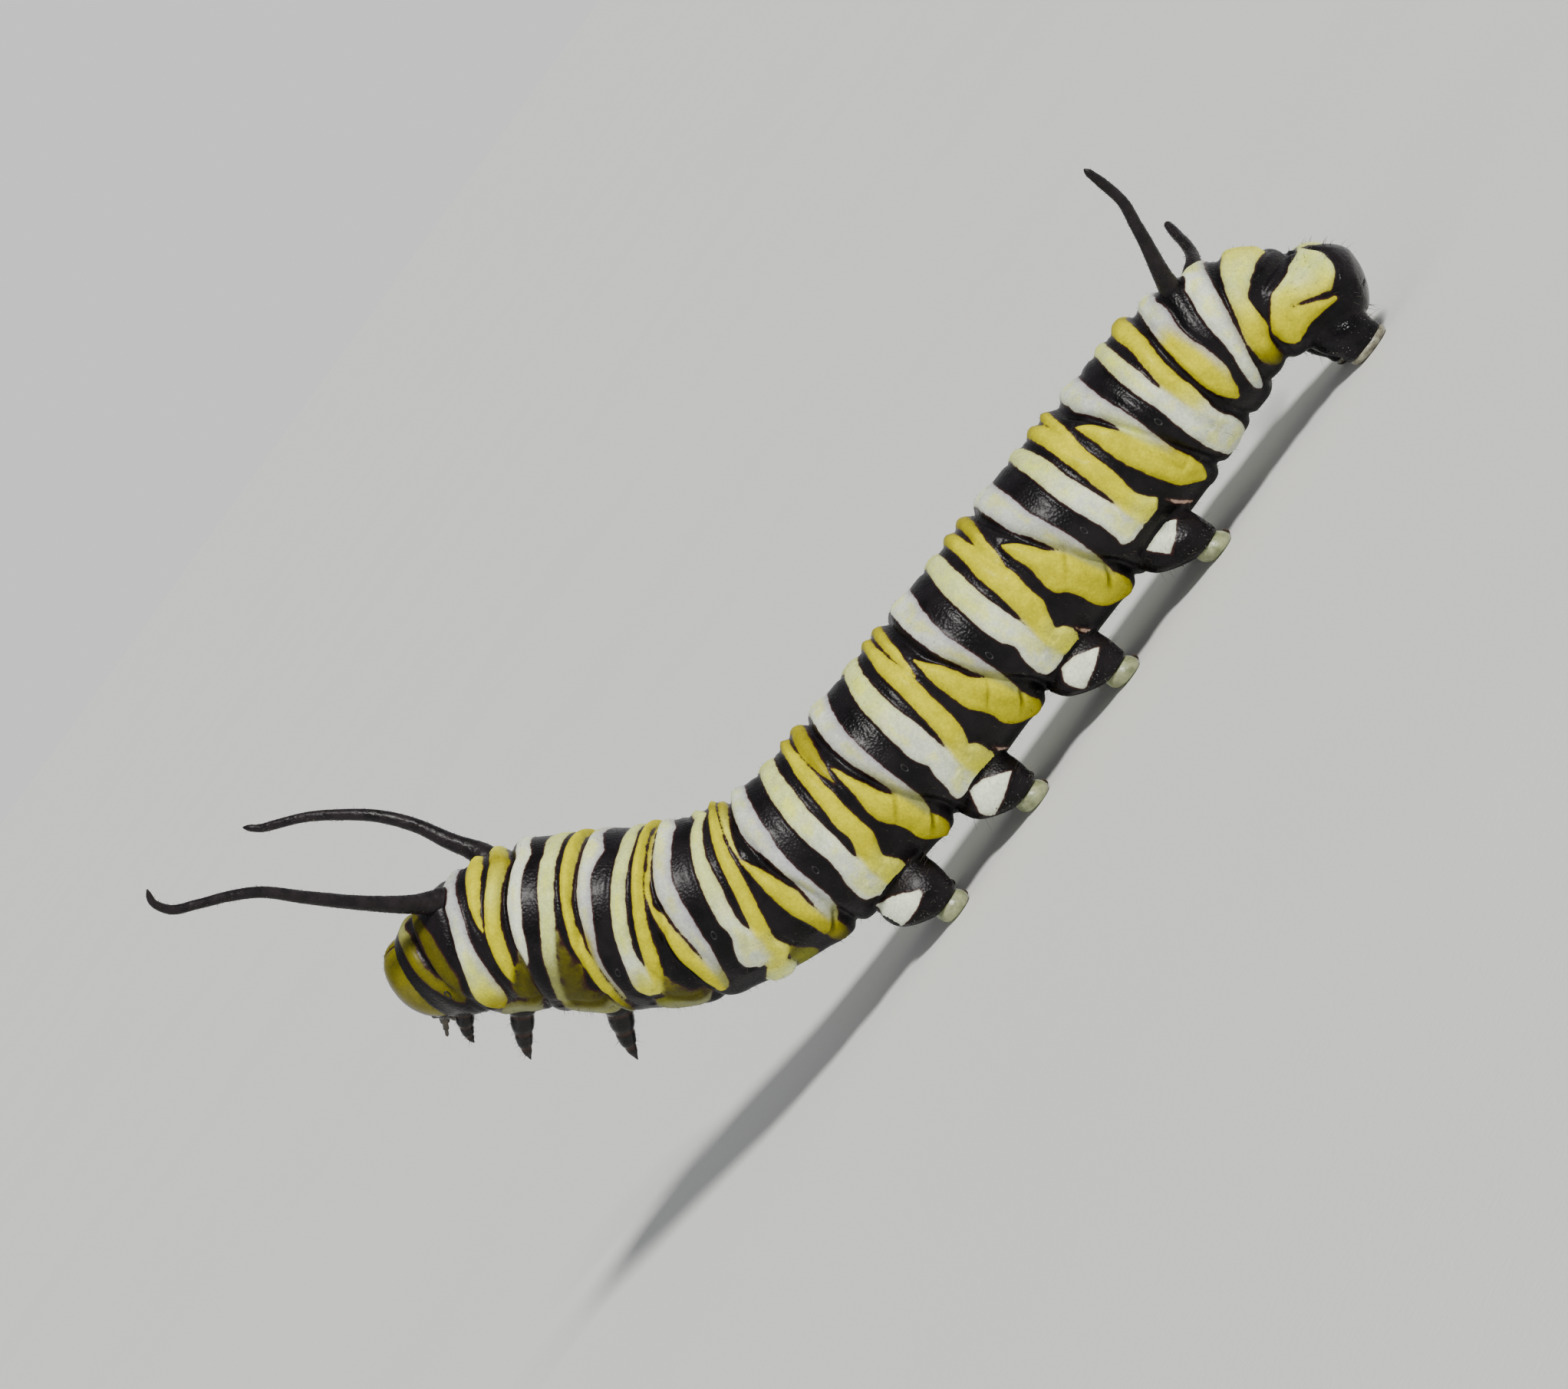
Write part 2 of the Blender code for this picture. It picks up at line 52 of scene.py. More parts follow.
# Seams from the neck to the tail: centre, half depth, half width, roll and lean in degrees
SEAMS = (
    ((-17.0, 4.10, 12.70), 1.75, 1.80, 14, 4), ((-15.95, 3.75, 12.35), 2.25, 2.35, 14, 4),
    ((-13.45, 3.00, 10.85), 2.95, 3.00, 14, 2), ((-11.55, 2.10, 8.75), 3.15, 3.15, 12, 5),
    ((-9.55, 1.00, 6.75), 3.25, 3.20, 9, 7), ((-6.50, 0.30, 5.15), 3.20, 3.20, 5, 4),
    ((-2.10, 0.0, 4.55), 3.20, 3.20, 2, 2), ((2.60, 0.0, 4.40), 3.15, 3.20, 0, 8),
    ((7.55, 0.0, 4.25), 3.15, 3.20, 0, 10), ((12.3, 0.0, 4.10), 3.10, 3.10, 0, 9),
    ((15.8, -0.40, 4.10), 2.80, 2.85, 0, 4), ((18.1, -1.00, 3.55), 2.30, 2.50, 0, -6),
    ((19.4, -1.40, 2.65), 1.72, 2.00, 0, -6), ((21.3, -1.95, 1.45), 0.75, 0.95, 0, 0),
)
LAST = len(SEAMS) - 1
BELLY_FLAT = 0.07        # share of the depth that the belly is flatter
TAIL_ROUNDING = 1.1
SLOPE_STEP = 0.05        # in millimetres, for the body line's direction

# Colours as they look, red, green and blue out of 255
COLOURS = {
    "white": (230, 236, 212), "grey": (196, 200, 191), "pale": (214, 223, 144),
    "cream": (222, 220, 84), "yellow": (208, 199, 0), "dull": (160, 150, 0),
    # The two darkest yellows below are partly painted shade: the skin's own colour made darker for the
    # head, the first segment and the lower sides, where shade falls
    "shaded_olive": (86, 81, 10), "sage": (150, 152, 92), "pink": (206, 172, 158),
    "lilac": (172, 169, 182), "shaded_yellow": (108, 102, 20), "fringe": (136, 138, 100),
    "moss": (122, 124, 36),
}

# Bands of the skin by segment. Each has its colours by turn from the back in degrees, how far
# it is raised, how sharp its edges are, and its edges towards the head and the tail by turn, in
# hundredths of a segment from the seam in front of it. Both sides of the body are alike.
BANDS = {
    "prothorax": (
        # painted shade: the first segment's colours are made darker
        ([(0, "sage"), (30, "shaded_yellow"), (75, "shaded_yellow"), (95, "shaded_olive")], 0.03, 0.7,
         [(0, 34, 62), (20, 40, 74), (50, 45, 75), (65, 50, 80), (80, 65, 100), (100, 87, 106),
          (106, 95, 98)]),
        ([(0, "shaded_olive")], 0.03, 0.7,
         [(0, 92, 102), (20, 100, 110), (60, 101, 116), (80, 103, 116), (92, 107, 110)]),
    ),
    "mesothorax": (
        ([(0, "grey"), (40, "grey"), (62, "white"), (78, "pale"), (96, "cream"), (112, "dull")],
         0.06, 1.0,
         [(0, 38, 50), (20, 38, 50), (40, 35, 50), (60, 30, 49), (80, 25, 53), (95, 20, 56),
          (108, 18, 56), (116, 23, 49), (121, 32, 42)]),
        ([(0, "yellow")], 0.1, 1.0,
         [(0, 60, 78), (20, 60, 75), (35, 60, 71), (45, 62, 69), (53, 65.5, 66.5)]),
        ([(0, "dull"), (28, "cream"), (50, "yellow"), (90, "yellow")], 0.08, 1.0,
         [(0, 86, 106), (20, 82, 99), (40, 74, 93), (55, 69, 90), (70, 68, 90), (82, 70, 90),
          (90, 74, 85), (95, 79, 80)]),
        # a soft darker patch low on the side, partly painted shade
        ([(72, "shaded_yellow"), (90, "shaded_olive")], 0.0, 0.12,
         [(70, 102, 108), (78, 96, 112), (86, 84, 112), (94, 74, 110), (104, 72, 110), (112, 76, 113),
          (118, 90, 108)]),
        ([(114, "shaded_yellow"), (124, "fringe")], 0.05, 0.3,
         [(114, 66, 108), (122, 40, 102), (130, 28, 95), (138, 22, 86), (146, 24, 56)]),
    ),
    "metathorax": (
        ([(0, "white")], 0.04, 1.0,
         [(0, 12, 27), (20, 8, 21), (40, 3, 19), (55, 2, 18), (67, 3, 19), (74, 7, 17), (79, 11, 13)]),
        ([(0, "pale"), (60, "pale"), (80, "sage")], 0.04, 0.9,
         [(0, 40, 58), (20, 38, 58), (40, 40, 60), (55, 40, 60), (70, 38, 57.5), (85, 39, 55),
          (100, 40, 53), (112, 40, 52), (117, 43, 49)]),
        # a soft darker patch low on the side, partly painted shade
        ([(56, "shaded_yellow"), (80, "shaded_olive")], 0.0, 0.12,
         [(54, 59, 62), (69, 56, 72), (80, 53, 82), (98, 51, 83), (107, 50, 93), (113, 50, 99),
          (118, 60, 90)]),
        ([(114, "shaded_yellow"), (122, "fringe")], 0.05, 0.3,
         [(114, 40, 100), (122, 42, 108), (130, 46, 112), (138, 58, 110), (143, 75, 95)]),
        ([(0, "yellow"), (94, "yellow"), (106, "dull"), (120, "shaded_olive")], 0.1, 1.0,
         [(0, 66, 86), (20, 66, 84), (40, 70, 83), (55, 75, 88), (65, 78, 94), (76, 83, 102),
          (88, 88, 111), (98, 92, 115), (107, 101, 117), (118, 109, 119), (126, 115, 119)]),
    ),
    "abdomen_1": (
        ([(0, "white"), (50, "grey"), (64, "dull"), (78, "sage"), (100, "sage")], 0.04, 1.0,
         [(0, -7, 27), (20, -9, 15), (40, -8, 16), (55, -4, 15), (70, 0, 13.5), (80, 6, 15),
          (90, 13, 20), (100, 17, 23.5), (109, 19, 22)]),
        ([(0, "pale"), (60, "pale"), (80, "white"), (100, "cream")], 0.06, 1.0,
         [(0, 47, 69), (20, 44, 64), (40, 41, 60), (60, 40, 58), (75, 41, 58), (85, 41, 62),
          (95, 40, 70), (102, 42, 68), (108, 50, 60)]),
        ([(92, "dull"), (108, "shaded_olive")], 0.0, 0.12,
         [(92, 70, 74), (102, 66, 81), (110, 62, 86), (118, 66, 93), (127, 85, 98)]),
        ([(114, "moss"), (124, "fringe")], 0.05, 0.3,
         [(113, 52, 64), (120, 48, 82), (128, 48, 96), (136, 52, 84), (143, 58, 70)]),
        ([(0, "yellow"), (92, "yellow"), (102, "cream")], 0.1, 1.0,
         [(0, 73, 87), (20, 71, 85), (40, 68, 81), (60, 65, 79), (80, 63, 78), (92, 58, 75),
          (100, 52, 70), (106, 56, 64)]),
        ([(0, "dull"), (30, "yellow")], 0.06, 1.0,
         [(0, 90, 96), (20, 88, 93), (36, 83, 88), (50, 85, 88), (60, 87, 95), (70, 89, 100),
          (80, 91, 104), (90, 93, 106), (100, 97, 110), (112, 100, 112), (125, 104, 108)]),
    ),
    "abdomen_2": (
        ([(0, "white"), (50, "grey"), (90, "grey"), (110, "sage")], 0.04, 1.0,
         [(0, -1, 27), (20, -4, 20), (40, -6, 13), (60, -1, 15), (75, 4, 17), (90, 8, 18), (105, 7, 16),
          (118, 7, 14), (124, 9, 11)]),
        ([(0, "pale"), (60, "pale"), (95, "white"), (120, "white")], 0.06, 1.0,
         [(0, 50, 65), (20, 41, 55), (40, 36, 50), (60, 34, 50), (80, 34, 48), (90, 36, 50),
          (100, 32, 58), (110, 30, 58), (116, 32, 56), (121, 40, 54)]),
        ([(0, "dull"), (20, "yellow"), (95, "yellow"), (112, "cream")], 0.1, 1.0,
         [(0, 69, 78), (20, 65, 77), (40, 60, 73), (60, 58, 72), (80, 55, 69), (90, 53, 67),
          (100, 46, 65), (108, 44, 64), (114, 45, 67), (120, 44, 68), (126, 44, 62), (132, 48, 56)]),
        ([(0, "dull"), (30, "cream")], 0.05, 1.0,
         [(0, 81, 92), (20, 79, 87), (35, 77, 83), (45, 76.5, 80), (53, 77.5, 78.5)]),
        ([(50, "yellow"), (105, "yellow"), (122, "dull"), (140, "shaded_olive")], 0.08, 1.0,
         [(53, 77, 78), (60, 78, 85), (70, 80, 93), (80, 82, 98), (90, 84, 103), (100, 87, 103),
          (110, 92, 105), (125, 96, 108), (140, 98, 108), (152, 100, 105)]),
        ([(124, "cream"), (134, "pale"), (148, "white")], 0.12, 0.9,
         [(122, 47, 56), (130, 40, 61), (137, 36, 63), (146, 35, 60), (153, 38, 56), (158, 43, 49)]),
        ([(120, "shaded_olive"), (134, "moss")], 0.0, 0.3,
         [(120, 66, 70), (128, 63, 76), (138, 62, 82), (148, 61, 80), (158, 64, 70)]),
    ),
    "abdomen_3": (
        ([(0, "white"), (50, "grey"), (105, "grey"), (122, "sage")], 0.04, 1.0,
         [(0, -3, 22), (20, -5, 19), (40, -7, 16), (50, -5, 15), (60, 0, 13), (80, 4, 13), (100, 5, 15),
          (115, 4, 14), (124, 3, 11)]),
        ([(0, "pale"), (50, "pale"), (85, "white")], 0.06, 1.0,
         [(0, 42, 60), (20, 38, 56), (40, 34, 53), (60, 31, 49), (80, 31, 47), (90, 32, 46),
          (100, 30, 45), (108, 28, 47), (120, 27, 47), (130, 28, 47), (137, 34, 48), (143, 42, 49)]),
        ([(0, "dull"), (20, "yellow"), (102, "yellow"), (116, "cream")], 0.1, 1.0,
         [(0, 69, 79), (20, 67, 76), (40, 62, 74), (60, 58, 71), (80, 53, 68), (92, 52, 67),
          (102, 46, 65), (110, 42, 60), (115, 40, 57.5), (122, 40, 60), (133, 40, 62), (141, 44, 60),
          (148, 49, 54)]),
        ([(0, "dull")], 0.05, 1.0,
         [(0, 83, 94), (20, 78.5, 91), (40, 75.5, 86), (55, 75.5, 80), (62, 76, 77)]),
        ([(50, "yellow"), (125, "yellow"), (150, "dull")], 0.1, 1.0,
         [(54, 83, 84), (60, 82, 86), (70, 80.5, 88), (80, 78, 91), (92, 75, 95), (99, 75.5, 100),
          (110, 81, 101.5), (118, 83, 102), (130, 83, 105), (145, 88, 105), (158, 94, 102)]),
        ([(130, "pink")], 0.02, 0.7,
         [(137, 64.5, 65), (145, 64.5, 67), (155, 67, 69.5), (164, 69, 69.5)]),
    ),
    "abdomen_4": (
        ([(0, "white"), (50, "grey"), (110, "sage")], 0.04, 1.0,
         [(0, 2, 27), (20, 0, 20), (40, -4, 13), (60, -5, 9), (80, -2, 8), (100, -1, 8), (115, 0, 7),
          (124, 1, 4)]),
        ([(0, "pale"), (50, "pale"), (85, "white")], 0.06, 1.0,
         [(0, 49, 67), (20, 42, 59), (40, 34, 53), (60, 29, 48), (80, 25, 46), (92, 24, 44),
          (102, 26, 43), (108, 24, 43), (120, 22, 43), (130, 20, 43), (137, 22, 43), (141, 28, 38)]),
        ([(0, "dull"), (25, "yellow"), (102, "yellow"), (118, "cream")], 0.1, 1.0,
         [(0, 74, 84), (20, 70, 80), (40, 63, 77), (60, 58, 74), (80, 52, 68), (95, 47, 64),
          (105, 42, 60), (112, 37, 56), (115, 36, 54), (120, 35, 57), (130, 35, 57.5), (139, 37, 57),
          (145, 43, 53)]),
        ([(0, "dull"), (45, "yellow")], 0.05, 1.0,
         [(0, 87, 96), (20, 83, 92), (40, 78.5, 86), (52, 75.5, 81), (62, 74.5, 76)]),
        ([(50, "yellow"), (125, "yellow"), (150, "dull")], 0.1, 1.0,
         [(54, 85, 86), (60, 83, 88), (70, 79, 92), (80, 76.5, 94), (92, 75, 96), (101, 74.5, 102.5),
          (108, 77, 103), (115, 79, 103), (130, 79, 105), (145, 85, 106), (158, 93, 104)]),
        ([(130, "pink")], 0.02, 0.7,
         [(135, 61, 61.5), (143, 60.5, 63), (152, 63, 65.5), (162, 66, 66.5)]),
    ),
    "abdomen_5": (
        ([(0, "white"), (50, "grey"), (110, "sage")], 0.04, 1.0,
         [(0, 8, 30), (20, 5, 26), (40, 1, 19), (60, -2, 13), (80, -1, 11), (100, 1, 9), (115, 2, 7),
          (126, 2, 4)]),
        ([(0, "pale"), (50, "pale"), (85, "white")], 0.06, 1.0,
         [(0, 48, 62), (20, 44, 60), (40, 38, 56), (60, 33, 51), (80, 28, 47.5), (92, 27, 46),
          (100, 29, 45), (107, 26, 44), (118, 22.5, 44), (128, 22, 44), (134, 24, 42), (138, 30, 38)]),
        ([(0, "dull"), (25, "yellow"), (100, "yellow"), (115, "cream")], 0.1, 1.0,
         [(0, 69, 80), (20, 68, 79), (40, 64, 77), (55, 59, 75), (70, 55.5, 74), (85, 51, 69),
          (97, 46, 66), (105, 41, 60), (112, 37, 55.5), (115, 36, 54), (121, 36, 58), (129, 36, 59),
          (134, 38, 58), (139, 44, 54)]),
        ([(0, "dull"), (25, "dull"), (45, "yellow")], 0.06, 1.0,
         [(0, 84, 95), (20, 83, 93), (35, 79, 88), (45, 76, 84), (58, 73, 79), (66, 72, 74)]),
        ([(50, "yellow"), (125, "yellow"), (150, "dull")], 0.1, 1.0,
         [(54, 86, 87), (60, 84, 92), (70, 82.5, 96), (80, 81, 99), (89, 77, 104), (102, 76, 104.5),
          (106, 79, 104.5), (115, 81, 106), (130, 81.5, 108), (145, 86, 108), (158, 95, 105)]),
        ([(120, "pink")], 0.02, 0.7,
         [(128, 60.5, 61), (137, 60.5, 63), (148, 63, 65.5), (158, 65, 65.5)]),
    ),
    "abdomen_6": (
        ([(0, "white"), (50, "grey"), (110, "sage")], 0.04, 1.0,
         [(0, 4, 25), (20, 2, 22), (40, 0, 19), (52, -1, 16), (65, 1, 15), (85, 2, 14), (100, 2, 12),
          (115, 2, 10), (124, 3, 7)]),
        ([(0, "pale"), (45, "pale"), (75, "white")], 0.06, 1.0,
         [(0, 45, 57), (20, 42, 57), (40, 39, 56), (60, 34, 52), (80, 31, 50), (92, 31, 49),
          (102, 30, 49), (110, 28.5, 50), (117, 27, 50), (121, 33, 45)]),
        ([(0, "dull"), (25, "yellow"), (95, "yellow"), (108, "cream")], 0.1, 1.0,
         [(0, 66, 78), (20, 65, 79), (40, 63, 79), (60, 59, 76), (80, 54, 72), (95, 50, 67),
          (103, 44, 65), (110, 42, 67), (117, 42, 69), (121, 50, 62)]),
        ([(0, "dull"), (25, "yellow")], 0.06, 1.0,
         [(0, 81, 90), (20, 80, 88), (40, 77, 84), (52, 74, 79), (60, 74, 76)]),
        ([(40, "yellow"), (120, "yellow")], 0.1, 1.0,
         [(43, 88.5, 89.5), (50, 87, 96), (60, 86, 101), (70, 83.5, 106), (80, 82, 110), (95, 82, 112),
          (110, 84, 114), (122, 86.5, 114), (132, 93, 111), (142, 101, 104)]),
        ([(120, "pink")], 0.02, 0.7,
         [(122, 72, 72.5), (130, 73, 75.5), (141, 77, 80), (150, 81, 82)]),
    ),
    "abdomen_7": (
        ([(0, "white"), (45, "grey"), (75, "pale"), (105, "dull")], 0.05, 1.0,
         [(0, 3, 35), (20, 2, 32), (32, 1, 30), (45, 6, 27.5), (58, 9, 26), (70, 6, 24), (80, 3, 21),
          (90, 1, 18), (105, 1, 14), (115, 3, 12)]),
        ([(0, "pale"), (40, "pale"), (65, "white")], 0.06, 1.0,
         [(0, 57, 69), (20, 56, 69), (40, 52, 68), (60, 47, 66), (72, 45, 63), (85, 42, 66),
          (100, 36, 66), (115, 31.5, 66), (140, 30, 68), (158, 33, 64), (168, 40, 55)]),
        ([(0, "dull"), (20, "yellow"), (80, "yellow"), (98, "cream"), (112, "white")], 0.09, 1.0,
         [(0, 77, 91), (20, 77, 92), (40, 77, 92), (55, 73, 89), (70, 67, 85), (80, 61, 84),
          (90, 56, 83), (100, 54, 80), (115, 54, 73), (135, 54, 77), (150, 54, 71), (164, 54, 60)]),
    ),
    "abdomen_8": (
        ([(0, "white"), (42, "grey"), (58, "yellow")], 0.07, 1.0,
         [(0, 1, 25), (20, 1, 27), (40, -1, 30), (55, -3.5, 27), (65, -4.5, 29), (75, -6, 34),
          (90, -8, 38), (102, -9, 37), (110, -7, 30), (118, 0, 23), (123, 8, 14)]),
        ([(0, "pale"), (20, "white"), (120, "white"), (134, "grey")], 0.06, 1.0,
         [(0, 58, 78), (20, 56, 79), (40, 56, 81), (60, 55, 82.5), (85, 58, 83), (100, 57, 82),
          (110, 52, 80), (120, 49, 79), (130, 46, 73), (138, 54, 62)]),
    ),
    "abdomen_9": (
        ([(0, "cream"), (45, "pale"), (68, "cream"), (84, "yellow"), (100, "yellow"), (112, "dull"),
          (126, "shaded_olive")], 0.08, 1.0,
         [(0, -6, 50), (10, -7, 44), (20, -9, 37), (40, -10.5, 25), (52, -11, 17), (60, -11, 12),
          (70, -11, 17), (80, -12, 29), (92, -13, 38), (100, -12, 36), (112, -7, 42), (122, -2, 50),
          (130, 20, 55), (137, 42, 48)]),
    ),
    "abdomen_10": (
        ([(0, "pale"), (50, "pale"), (66, "cream"), (84, "yellow")], 0.08, 1.0,
         [(0, 17, 22), (10, 19, 38), (20, 13, 56), (32, 1, 64), (42, -7, 69), (52, -26, 70),
          (62, -46, 67), (72, -51, 61), (82, -54, 55), (92, -56, 58), (98, -56, 35), (108, -45, 10),
          (116, -34, 2), (121, -20, -10)]),
    ),
}

# Folds between the segments: their places in seams from the neck, by turn
FOLDS = (
    [(0, .80), (60, .86), (100, 1.04), (180, 1.10)],
    [(0, 2.07), (40, 1.98), (70, 2.00), (110, 2.06), (180, 2.1)],
    [(0, 2.90), (40, 2.88), (55, 2.92), (70, 2.86), (100, 2.92), (180, 3.0)],
    [(0, 3.95), (40, 3.90), (60, 3.93), (75, 3.86), (100, 3.92), (180, 4.0)],
    [(0, 4.93), (30, 4.90), (55, 4.94), (70, 4.97), (82, 5.03), (120, 5.12), (180, 5.12)],
    [(0, 5.98), (30, 5.93), (60, 5.92), (80, 5.95), (100, 6.01), (120, 6.1), (180, 6.1)],
    [(0, 7.02), (30, 6.96), (60, 6.92), (80, 6.96), (100, 7.02), (120, 7.12), (180, 7.12)],
    [(0, 8.0), (30, 7.97), (60, 7.98), (80, 8.0), (100, 8.05), (120, 8.13), (180, 8.13)],
    [(0, 8.97), (30, 8.96), (60, 9.07), (80, 9.12), (120, 9.18), (180, 9.18)],
    [(0, 9.96), (40, 9.95), (70, 9.90), (100, 9.86), (180, 9.9)],
    [(0, 10.87), (40, 10.86), (90, 10.85), (130, 10.85), (180, 10.85)],
    [(0, 12.05), (30, 11.70), (55, 11.36), (75, 11.34), (95, 11.41), (120, 11.6), (180, 11.6)],
)
FOLD_DEPTH = (0.16, 0.15, 0.15, 0.17, 0.20, 0.20, 0.20, 0.20, 0.20, 0.16, 0.12, 0.12)
FOLD_WIDTH = 0.17
TAIL_CREASE = ((11.92, 79), (12.3, 80), (12.65, 83), (13.0, 84))     # place and turn
# Creases across the lower ends of the side bands, sunk and dark with painted shade: place, turn, slant
# and strength
DIMPLES = (
    (5.05, 124, 0.9, 1.0), (6.01, 127, 0.9, 1.0), (7.01, 127, 0.9, 1.0), (8.02, 123, 0.9, 1.0),
    (5.90, 101, 1.1, 0.5), (6.90, 105, 1.3, 0.5), (7.96, 93, 1.3, 0.5),
)
DIMPLE_LENGTH = 0.36
DIMPLE_WIDTH = 0.12
DIMPLE_DEPTH = 0.16
DIMPLE_PAINTED_SHADE = 0.72          # painted shade: how much darker the skin's colour is made in a crease
FINE_FOLD_DEPTH = 0.06       # creases in the black lines beside the raised bands
FINE_FOLD_WIDTH = 0.13

# Prolegs: x of each root and pad, and rings from inside the body down: height over the
# floor, distance from the middle, half length along the body, half width and how far the
# ring lies towards the head
PROLEG_X = {3: (-4.5, -4.2), 4: (-0.1, 0.45), 5: (5.0, 5.7), 6: (10.1, 11.0)}
PROLEG_RINGS = (
    (3.2, 1.10, 0.80, 0.60, 0.0), (2.6, 1.20, 1.05, 0.75, 0.08), (1.9, 1.55, 1.30, 0.92, 0.26),
    (1.35, 1.85, 1.24, 0.88, 0.30), (0.98, 1.98, 1.02, 0.80, 0.22), (0.78, 2.02, 0.86, 0.74, 0.12),
    (0.64, 2.04, 0.72, 0.68, 0.05), (0.55, 2.05, 0.58, 0.56, 0.0), (0.51, 2.05, 0.42, 0.40, 0.0),
)
PAD_RINGS = (
    (0.70, 2.03, 0.40, 0.40, 0.0), (0.62, 2.05, 0.52, 0.52, 0.0), (0.46, 2.06, 0.61, 0.62, 0.0),
    (0.29, 2.08, 0.64, 0.66, 0.0), (0.13, 2.08, 0.60, 0.61, 0.0), (0.04, 2.08, 0.52, 0.51, 0.0),
    (0.0, 2.08, 0.45, 0.44, 0.0),
)
ANAL_PROLEG_X = (19.2, 19.5)
ANAL_PROLEG_MIDDLE = -1.30
ANAL_PROLEG_RINGS = (
    (2.9, 0.60, 0.70, 0.50, 0.0), (2.3, 0.70, 0.85, 0.62, 0.0), (1.6, 1.05, 1.05, 0.80, 0.0),
    (1.05, 1.30, 0.98, 0.78, 0.0), (0.62, 1.42, 0.84, 0.72, 0.0), (0.40, 1.46, 0.86, 0.72, 0.0),
    (0.27, 1.47, 0.80, 0.66, 0.0), (0.22, 1.47, 0.60, 0.48, 0.0),
)
ANAL_PAD_RINGS = (
    (0.44, 1.46, 0.52, 0.44, 0.0), (0.37, 1.47, 0.70, 0.58, 0.0), (0.28, 1.48, 0.80, 0.66, 0.0),
    (0.18, 1.50, 0.84, 0.68, 0.0), (0.09, 1.50, 0.79, 0.63, 0.0), (0.03, 1.50, 0.70, 0.55, 0.0),
    (0.0, 1.50, 0.62, 0.48, 0.0),
)
# Corners of the white patch on the outer face of a proleg: angle round the leg from the
# outer face towards the tail, and height over the floor
PROLEG_PATCH = {
    3: ((-82, 2.45), (-42, 2.22), (0, 1.66), (-2, 1.42), (-46, 1.26), (-86, 1.26), (-86, 2.1)),
    4: ((-44, 2.24), (-10, 2.12), (44, 1.42), (-76, 0.92), (-68, 1.50)),
    5: ((-40, 2.20), (-5, 2.06), (44, 1.48), (-64, 1.00), (-59, 1.74)),
    6: ((-36, 2.64), (2, 2.58), (42, 1.90), (-42, 1.36), (-50, 2.10)),
}
LEG_DEGREE = 0.0165      # millimetres of a proleg's outer face to one degree
PATCH_INSET = 0.05       # of the white inside its corners

# Lines of the filaments from inside the body to the tips, and radii by share of their length
FRONT_FILAMENT = {
    "left": ((-14.1, 2.6, 13.2), (-14.65, 2.1, 14.1), (-15.35, 1.5, 15.1), (-16.2, 0.95, 16.5),
             (-17.0, 0.4, 18.0), (-17.8, -0.1, 19.5), (-18.45, -0.3, 20.2), (-19.25, -0.55, 20.9),
             (-19.95, -0.75, 21.6), (-20.05, -0.9, 22.2), (-19.8, -1.0, 22.6)),
    "right": ((-12.75, 4.9, 12.6), (-12.6, 5.45, 13.75), (-12.85, 5.8, 14.7), (-13.15, 6.3, 16.05),
              (-13.7, 6.8, 17.3), (-14.45, 7.25, 18.35), (-15.3, 7.7, 19.3), (-16.05, 8.05, 19.9),
              (-16.55, 8.3, 20.3), (-16.9, 8.5, 20.8)),
}
FRONT_RADII = ((0.0, 0.70), (0.08, 0.56), (0.14, 0.39), (0.25, 0.30), (0.5, 0.23), (0.8, 0.175),
               (0.95, 0.14), (0.985, 0.10), (1.0, 0.03))
REAR_FILAMENT = {
    "left": ((16.9, -1.3, 5.6), (17.15, -1.9, 6.7), (17.45, -2.2, 7.45), (17.8, -2.4, 8.2),
             (18.1, -2.5, 8.9), (18.4, -2.6, 9.6), (18.5, -2.7, 10.6), (18.5, -2.8, 11.4)),
    "right": ((17.5, 0.4, 5.4), (18.2, 1.4, 5.8), (18.65, 2.0, 5.95), (18.95, 2.7, 6.1),
              (19.15, 3.3, 6.4), (19.3, 4.0, 6.75), (19.5, 4.8, 7.25)),
}
REAR_RADII = ((0.0, 0.64), (0.1, 0.50), (0.2, 0.38), (0.35, 0.29), (0.55, 0.23), (0.75, 0.195),
              (0.93, 0.16), (0.98, 0.11), (1.0, 0.03))
ROOT_SWELLING = 0.32         # of the skin where a filament leaves it
ROOT_SWELLING_WIDTH = 0.80
ROOT_BLACK = 0.62            # reach of the black round a filament's root

# Thoracic legs: place of the root, turn, length, lean to the head and thickness
LEGS = {
    "foreleg": (0.50, 146, 1.25, 0.72, 0.72), "midleg": (1.60, 150, 2.05, 0.45, 0.92),
    "hindleg": (2.85, 152, 2.25, 0.07, 1.0),
}
LEG_SIDES = 32
LEG_SUNK = 0.7           # length of a leg inside the body
LEG_CLAW = 0.30          # how far its claw bends to the tail
LEG_SPLAY = 0.20
# Radii of a leg by share of its length, with a narrow ring at each joint
LEG_RADII = (
    (0.0, 0.62), (0.20, 0.60), (0.29, 0.55), (0.325, 0.48), (0.35, 0.47), (0.42, 0.47),
    (0.53, 0.42), (0.585, 0.355), (0.605, 0.345), (0.63, 0.35), (0.70, 0.32), (0.77, 0.27),
    (0.805, 0.215), (0.83, 0.205), (0.88, 0.175), (0.915, 0.13), (0.94, 0.09), (0.97, 0.055),
    (1.0, 0.012),
)
LEG_JOINTS = (0.335, 0.597, 0.815)

HEAD_NOD = 22.0          # degrees
HEAD_OUT = -0.10         # of the neck, so that the collar holds it
HEAD_DEPTH = 1.20
HEAD_WIDTH = 1.70
HEAD_HEIGHT = 1.80
# Small eyes: degrees round from the face and up from its middle
STEMMATA = ((44, -30), (52, -24), (57, -33), (53, -42), (45, -45), (36, -52))
EYE_RADIUS = 0.115

